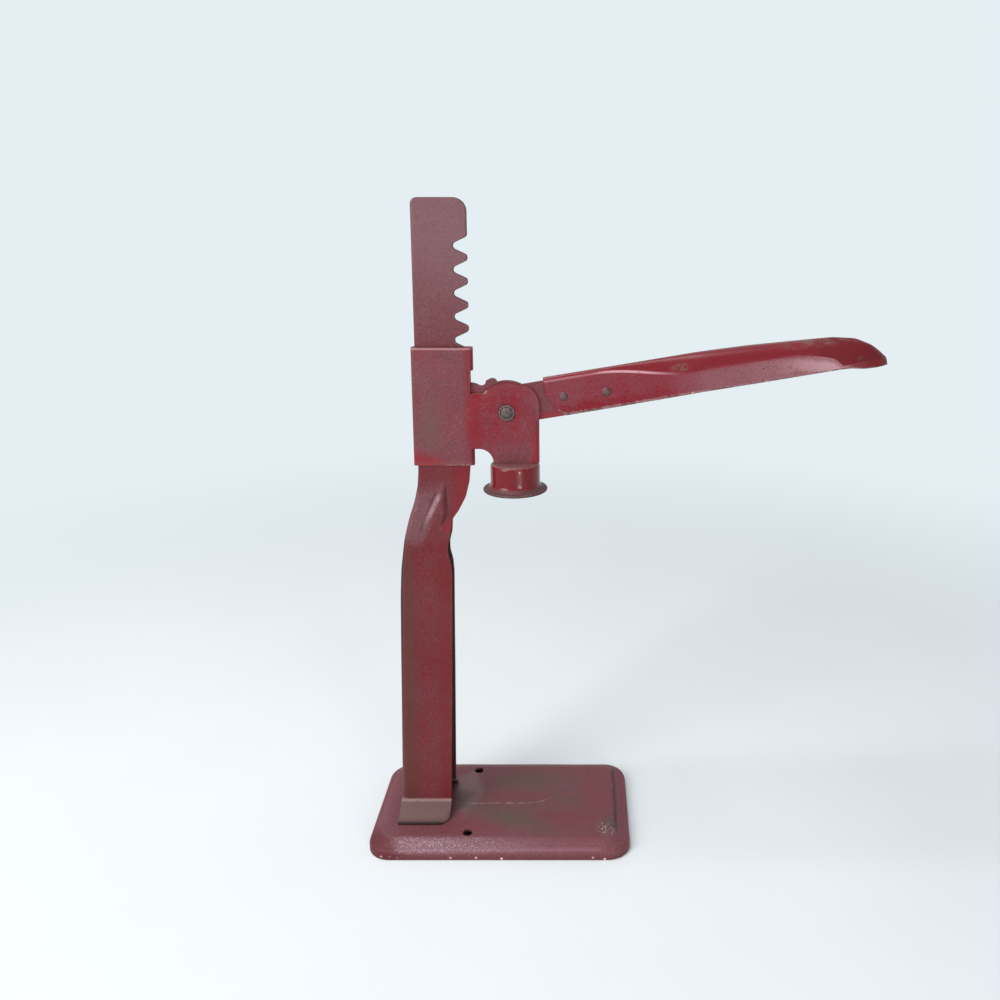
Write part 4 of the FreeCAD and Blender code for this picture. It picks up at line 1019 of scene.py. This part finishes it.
# %% [markdown]
# ## Head and lever plate
# These two are flat sheet with cut outlines and a few tight bends, so the CAD mesh already has their
# exact shape. What it lacks is the rounding that a cut edge gets from wear, which is what catches the
# light. A copy is merged, its flat triangles are joined, and every edge sharper than 28 degrees is
# rounded by a narrow bevel. The CAD mesh itself stays as it is and is hidden under the copy.


# %% A copy with rounded edges
SHARP_OVER = 28
SMOOTH_COPY = 31
WORN_WIDTH = 0.4


def rounded_copy(name, body, node_name, corner=None):
    """A copy of a CAD piece with worn edges. A corner is (x, z, size): the edge that crosses the sheet
    there is rounded first, by more than wear alone would take off."""
    mesh = nodes[node_name].data.copy()
    mesh.name = name
    work = bmesh.new()
    work.from_mesh(mesh)
    bmesh.ops.remove_doubles(work, verts=work.verts, dist=MERGE)
    bmesh.ops.dissolve_limit(work, angle_limit=math.radians(0.6), verts=work.verts, edges=work.edges)

    def bevel(edges, width, segments):
        return bmesh.ops.bevel(
            work, geom=edges, offset=width * MM, offset_type="OFFSET", segments=segments, profile=0.5,
            affect="EDGES", clamp_overlap=True)

    if corner:
        place = Vector((corner[0] * MM, 0.0, corner[1] * MM))

        def across(low, high):
            """Edges whose two ends lie between two distances, in millimetres, from the corner."""
            return [edge for edge in work.edges if all(
                low * MM < (Vector((end.co.x, 0.0, end.co.z)) - place).length < high * MM
                for end in edge.verts) and abs(edge.verts[0].co.y - edge.verts[1].co.y) > MM]

        bmesh.ops.dissolve_edges(work, edges=across(0.6, corner[2] * 1.3), use_verts=True)
        bevel(across(-1.0, 0.6), corner[2], 6)
    limit = math.radians(SHARP_OVER)
    sharp = [edge for edge in work.edges if edge.is_manifold and edge.calc_face_angle(0.0) > limit]
    rounded = set(bevel(sharp, WORN_WIDTH, 3)["faces"])
    worn = np.array([rounded.issuperset(point.link_faces) for point in work.verts], float)
    work.to_mesh(mesh)
    work.free()
    write_edges(mesh, worn)
    stand_in(name, mesh, body, node_name, SMOOTH_COPY)


rounded_copy("folded_head", "head", "head_shell")
rounded_copy("cut_lever_plate", "lever", "lever_plate", (18.71, 307.22, 2.2))

# %% [markdown]
# ## Turned pieces
# The bell, the rivets and the washers are round, so each is a profile of (radius, distance along the
# axis) carried round its axis. A profile that starts and ends on the axis closes by itself.


# %% A profile carried round an axis
def turned(name, profile, centre, axis, body, node_name, count):
    """Point = centre + axis * distance + radius * (cosine, sine) of the turn in the other two."""
    radius, along = np.array(profile, float).T
    turn = np.linspace(0, 2 * math.pi, count, endpoint=False)
    ring = radius[:, None] * np.stack([np.cos(turn), np.sin(turn)])[:, None, :]
    run = np.broadcast_to(along[:, None], ring[0].shape)
    if axis == "Z":
        grid = np.stack([ring[0], ring[1], run], axis=-1)
    else:
        grid = np.stack([ring[0], run, ring[1]], axis=-1)
    smooth_mesh(name, [grid + np.array(centre)], body, node_name)


def round_corner(centre, radius, start, end, steps):
    """Points on a circle about a centre, from one angle to another in degrees."""
    angle = np.radians(np.linspace(start, end, steps))
    return np.stack([centre[0] + radius * np.cos(angle), centre[1] + radius * np.sin(angle)], axis=1)


# %% Bell
THROAT = 14.4
OUTER = THROAT + SHEET
RIM = 20.85
DROP = 18.3
CROWN = 2.6
FLARE = 4.4
BELL_TOP = (31.8, 0, 251.4)
flare_at = (OUTER + FLARE, SHEET + FLARE - DROP)
bell_profile = np.vstack([
    [(0.0, 0.0), (6.0, 0.0), (11.0, 0.0)],
    round_corner((OUTER - CROWN, -CROWN), CROWN, 90, 0, 9),
    [(OUTER, -5.0), (OUTER, -8.0)],
    round_corner(flare_at, FLARE, 180, 270, 10),
    round_corner((RIM - SHEET / 2, SHEET / 2 - DROP), SHEET / 2, 90, -90, 7),
    round_corner(flare_at, FLARE + SHEET, 270, 180, 10),
    [(THROAT, -8.0), (THROAT, -5.0)],
    round_corner((THROAT - CROWN + SHEET, -CROWN), CROWN - SHEET, 0, 90, 5),
    [(8.0, -SHEET), (0.0, -SHEET)],
])
turned("drawn_bell", bell_profile, BELL_TOP, "Z", "head", "capping_bell", 128)


# %% Rivets and washers
def both_ends(half):
    """A profile and its mirror image along the axis."""
    return np.vstack([half, np.array(half)[::-1] * np.array([1.0, -1.0])])


def rivet_profile(shank, head, dome, grip):
    """Half a dome with a small flat rim, the shank, and the same on the other end."""
    radius = head / 2
    ball = (radius ** 2 + dome ** 2) / (2 * dome)
    reach = math.degrees(math.asin(radius / ball))
    top = round_corner((0.0, grip / 2 + dome - ball), ball, 90, 90 - reach, 9)
    top[0] = (0.0, grip / 2 + dome)
    return both_ends(np.vstack([top, [(radius - 0.15, grip / 2)], [(shank / 2, grip / 2)]]))


turned("pivot_pin", rivet_profile(6.4, 7.4, 1.5, 8.8), (PIVOT_X, 0, PIVOT_Z), "Y", "head",
       "pivot_rivet", 48)
for end, along, up in (("rear", 37.5, 4.4), ("front", 64.9, 2.9)):
    x, z = off_lever(along, up)
    turned("grip_rivet_" + end, rivet_profile(4.0, 6.0, 1.6, 6.4), (x, 0, z), "Y", "lever",
           "handle_rivet_" + end, 40)
washer = both_ends([(3.25, 0.4), (4.7, 0.4), (4.93, 0.3), (5.0, 0.1)])
washer = np.vstack([washer, washer[:1]])
for y, name in ((-4.0, "near"), (4.0, "far")):
    turned("washer_" + name, washer, (PIVOT_X, y, PIVOT_Z), "Y", "head", "pivot_washer_" + name, 48)

# %% [markdown]
# ## Floor, camera and light
# The camera stands where the photo was taken: 557 mm in front, 399 mm up, looking 10 degrees down,
# with the lens shifted a little because the picture was cropped off centre.


# %% Floor
WALL = rgb(229, 239, 243)


def pale_floor():
    """A wide flat square of pale paper that keeps the capper's shadow. Seen from the camera it fades
    with the distance into the colour of the wall, so that no horizon shows."""
    reach = 6.0
    corners = [(-reach, -reach, 0), (reach, -reach, 0), (reach, reach, 0), (-reach, reach, 0)]
    mesh = bpy.data.meshes.new("studio_floor")
    mesh.from_pydata(corners, [], [(0, 1, 2, 3)])
    floor = put("studio_floor", mesh)
    paper = Finish("pale_studio_paper")
    grain = paper.noise(160.0, 2.0, 0.5)
    mesh.materials.append(paper.finish(paper.mix(grain, rgb(224, 229, 231), rgb(231, 235, 237)), 0.9))
    far = (oval(paper.x, paper.y, 0, 0, 1, 1) ** 0.5).ramp(260, 1100)
    glow = paper.node("ShaderNodeEmission", None, {"Color": WALL, "Strength": 1.0})
    paper.show(far * paper.seen(), Wire(paper, paper.shader.outputs[0]), glow, "Material Output")


pale_floor()


# %% Camera
# The picture's side, the focal length and the point straight ahead, in pixels.
PHOTO = 1000
FOCAL = 887
AIM_X = 580
AIM_Y = 387.4
camera_data = bpy.data.cameras.new("photo_camera")
camera_data.sensor_width = 36.0
camera_data.lens = 36.0 * FOCAL / PHOTO
camera_data.shift_x = (PHOTO / 2 - AIM_X) / PHOTO
camera_data.shift_y = (AIM_Y - PHOTO / 2) / PHOTO
camera_data.clip_start = 0.01
camera = put("photo_camera", camera_data)
camera.location = (0.0738, -0.5571, 0.39875)
camera.rotation_euler = (math.radians(80), 0, 0)
bpy.context.scene.camera = camera


# %% Light
def soft_light(name, place, target, size, power):
    """A rectangular lamp turned towards a target, in metres and watts."""
    data = bpy.data.lights.new(name, "AREA")
    data.shape = "RECTANGLE"
    data.size, data.size_y = size
    data.energy = power
    lamp = put(name, data)
    lamp.location = place
    aim = Vector(target) - Vector(place)
    lamp.rotation_euler = aim.to_track_quat("-Z", "Y").to_euler()


soft_light("window_left", (-1.1, -1.0, 0.9), (0.05, 0, 0.25), (0.7, 0.9), 16)
soft_light("lamp_right", (0.53, -1.1, 0.16), (0.2, 0, 0.3), (0.16, 0.3), 4.5)
soft_light("top_left", (-0.34, -0.05, 1.6), (0.0, 0, 0.1), (0.5, 0.8), 13)


# %% Air
def studio_air():
    """Even light of a plain level, and the wall's colour for the camera and for mirrored rays."""
    world = bpy.data.worlds.new("studio_air")
    bpy.context.scene.world = world
    world.use_nodes = True
    air = Graph(world.node_tree)
    plain = air.tree.nodes["Background"]
    plain.inputs["Color"].default_value = (0.84, 0.88, 0.92, 1)
    plain.inputs["Strength"].default_value = 0.45
    wall = air.node("ShaderNodeBackground", None, {"Color": WALL})
    air.show(air.seen(), Wire(air, plain.outputs[0]), wall, "World Output")


studio_air()
bpy.context.scene.view_settings.view_transform = "Standard"
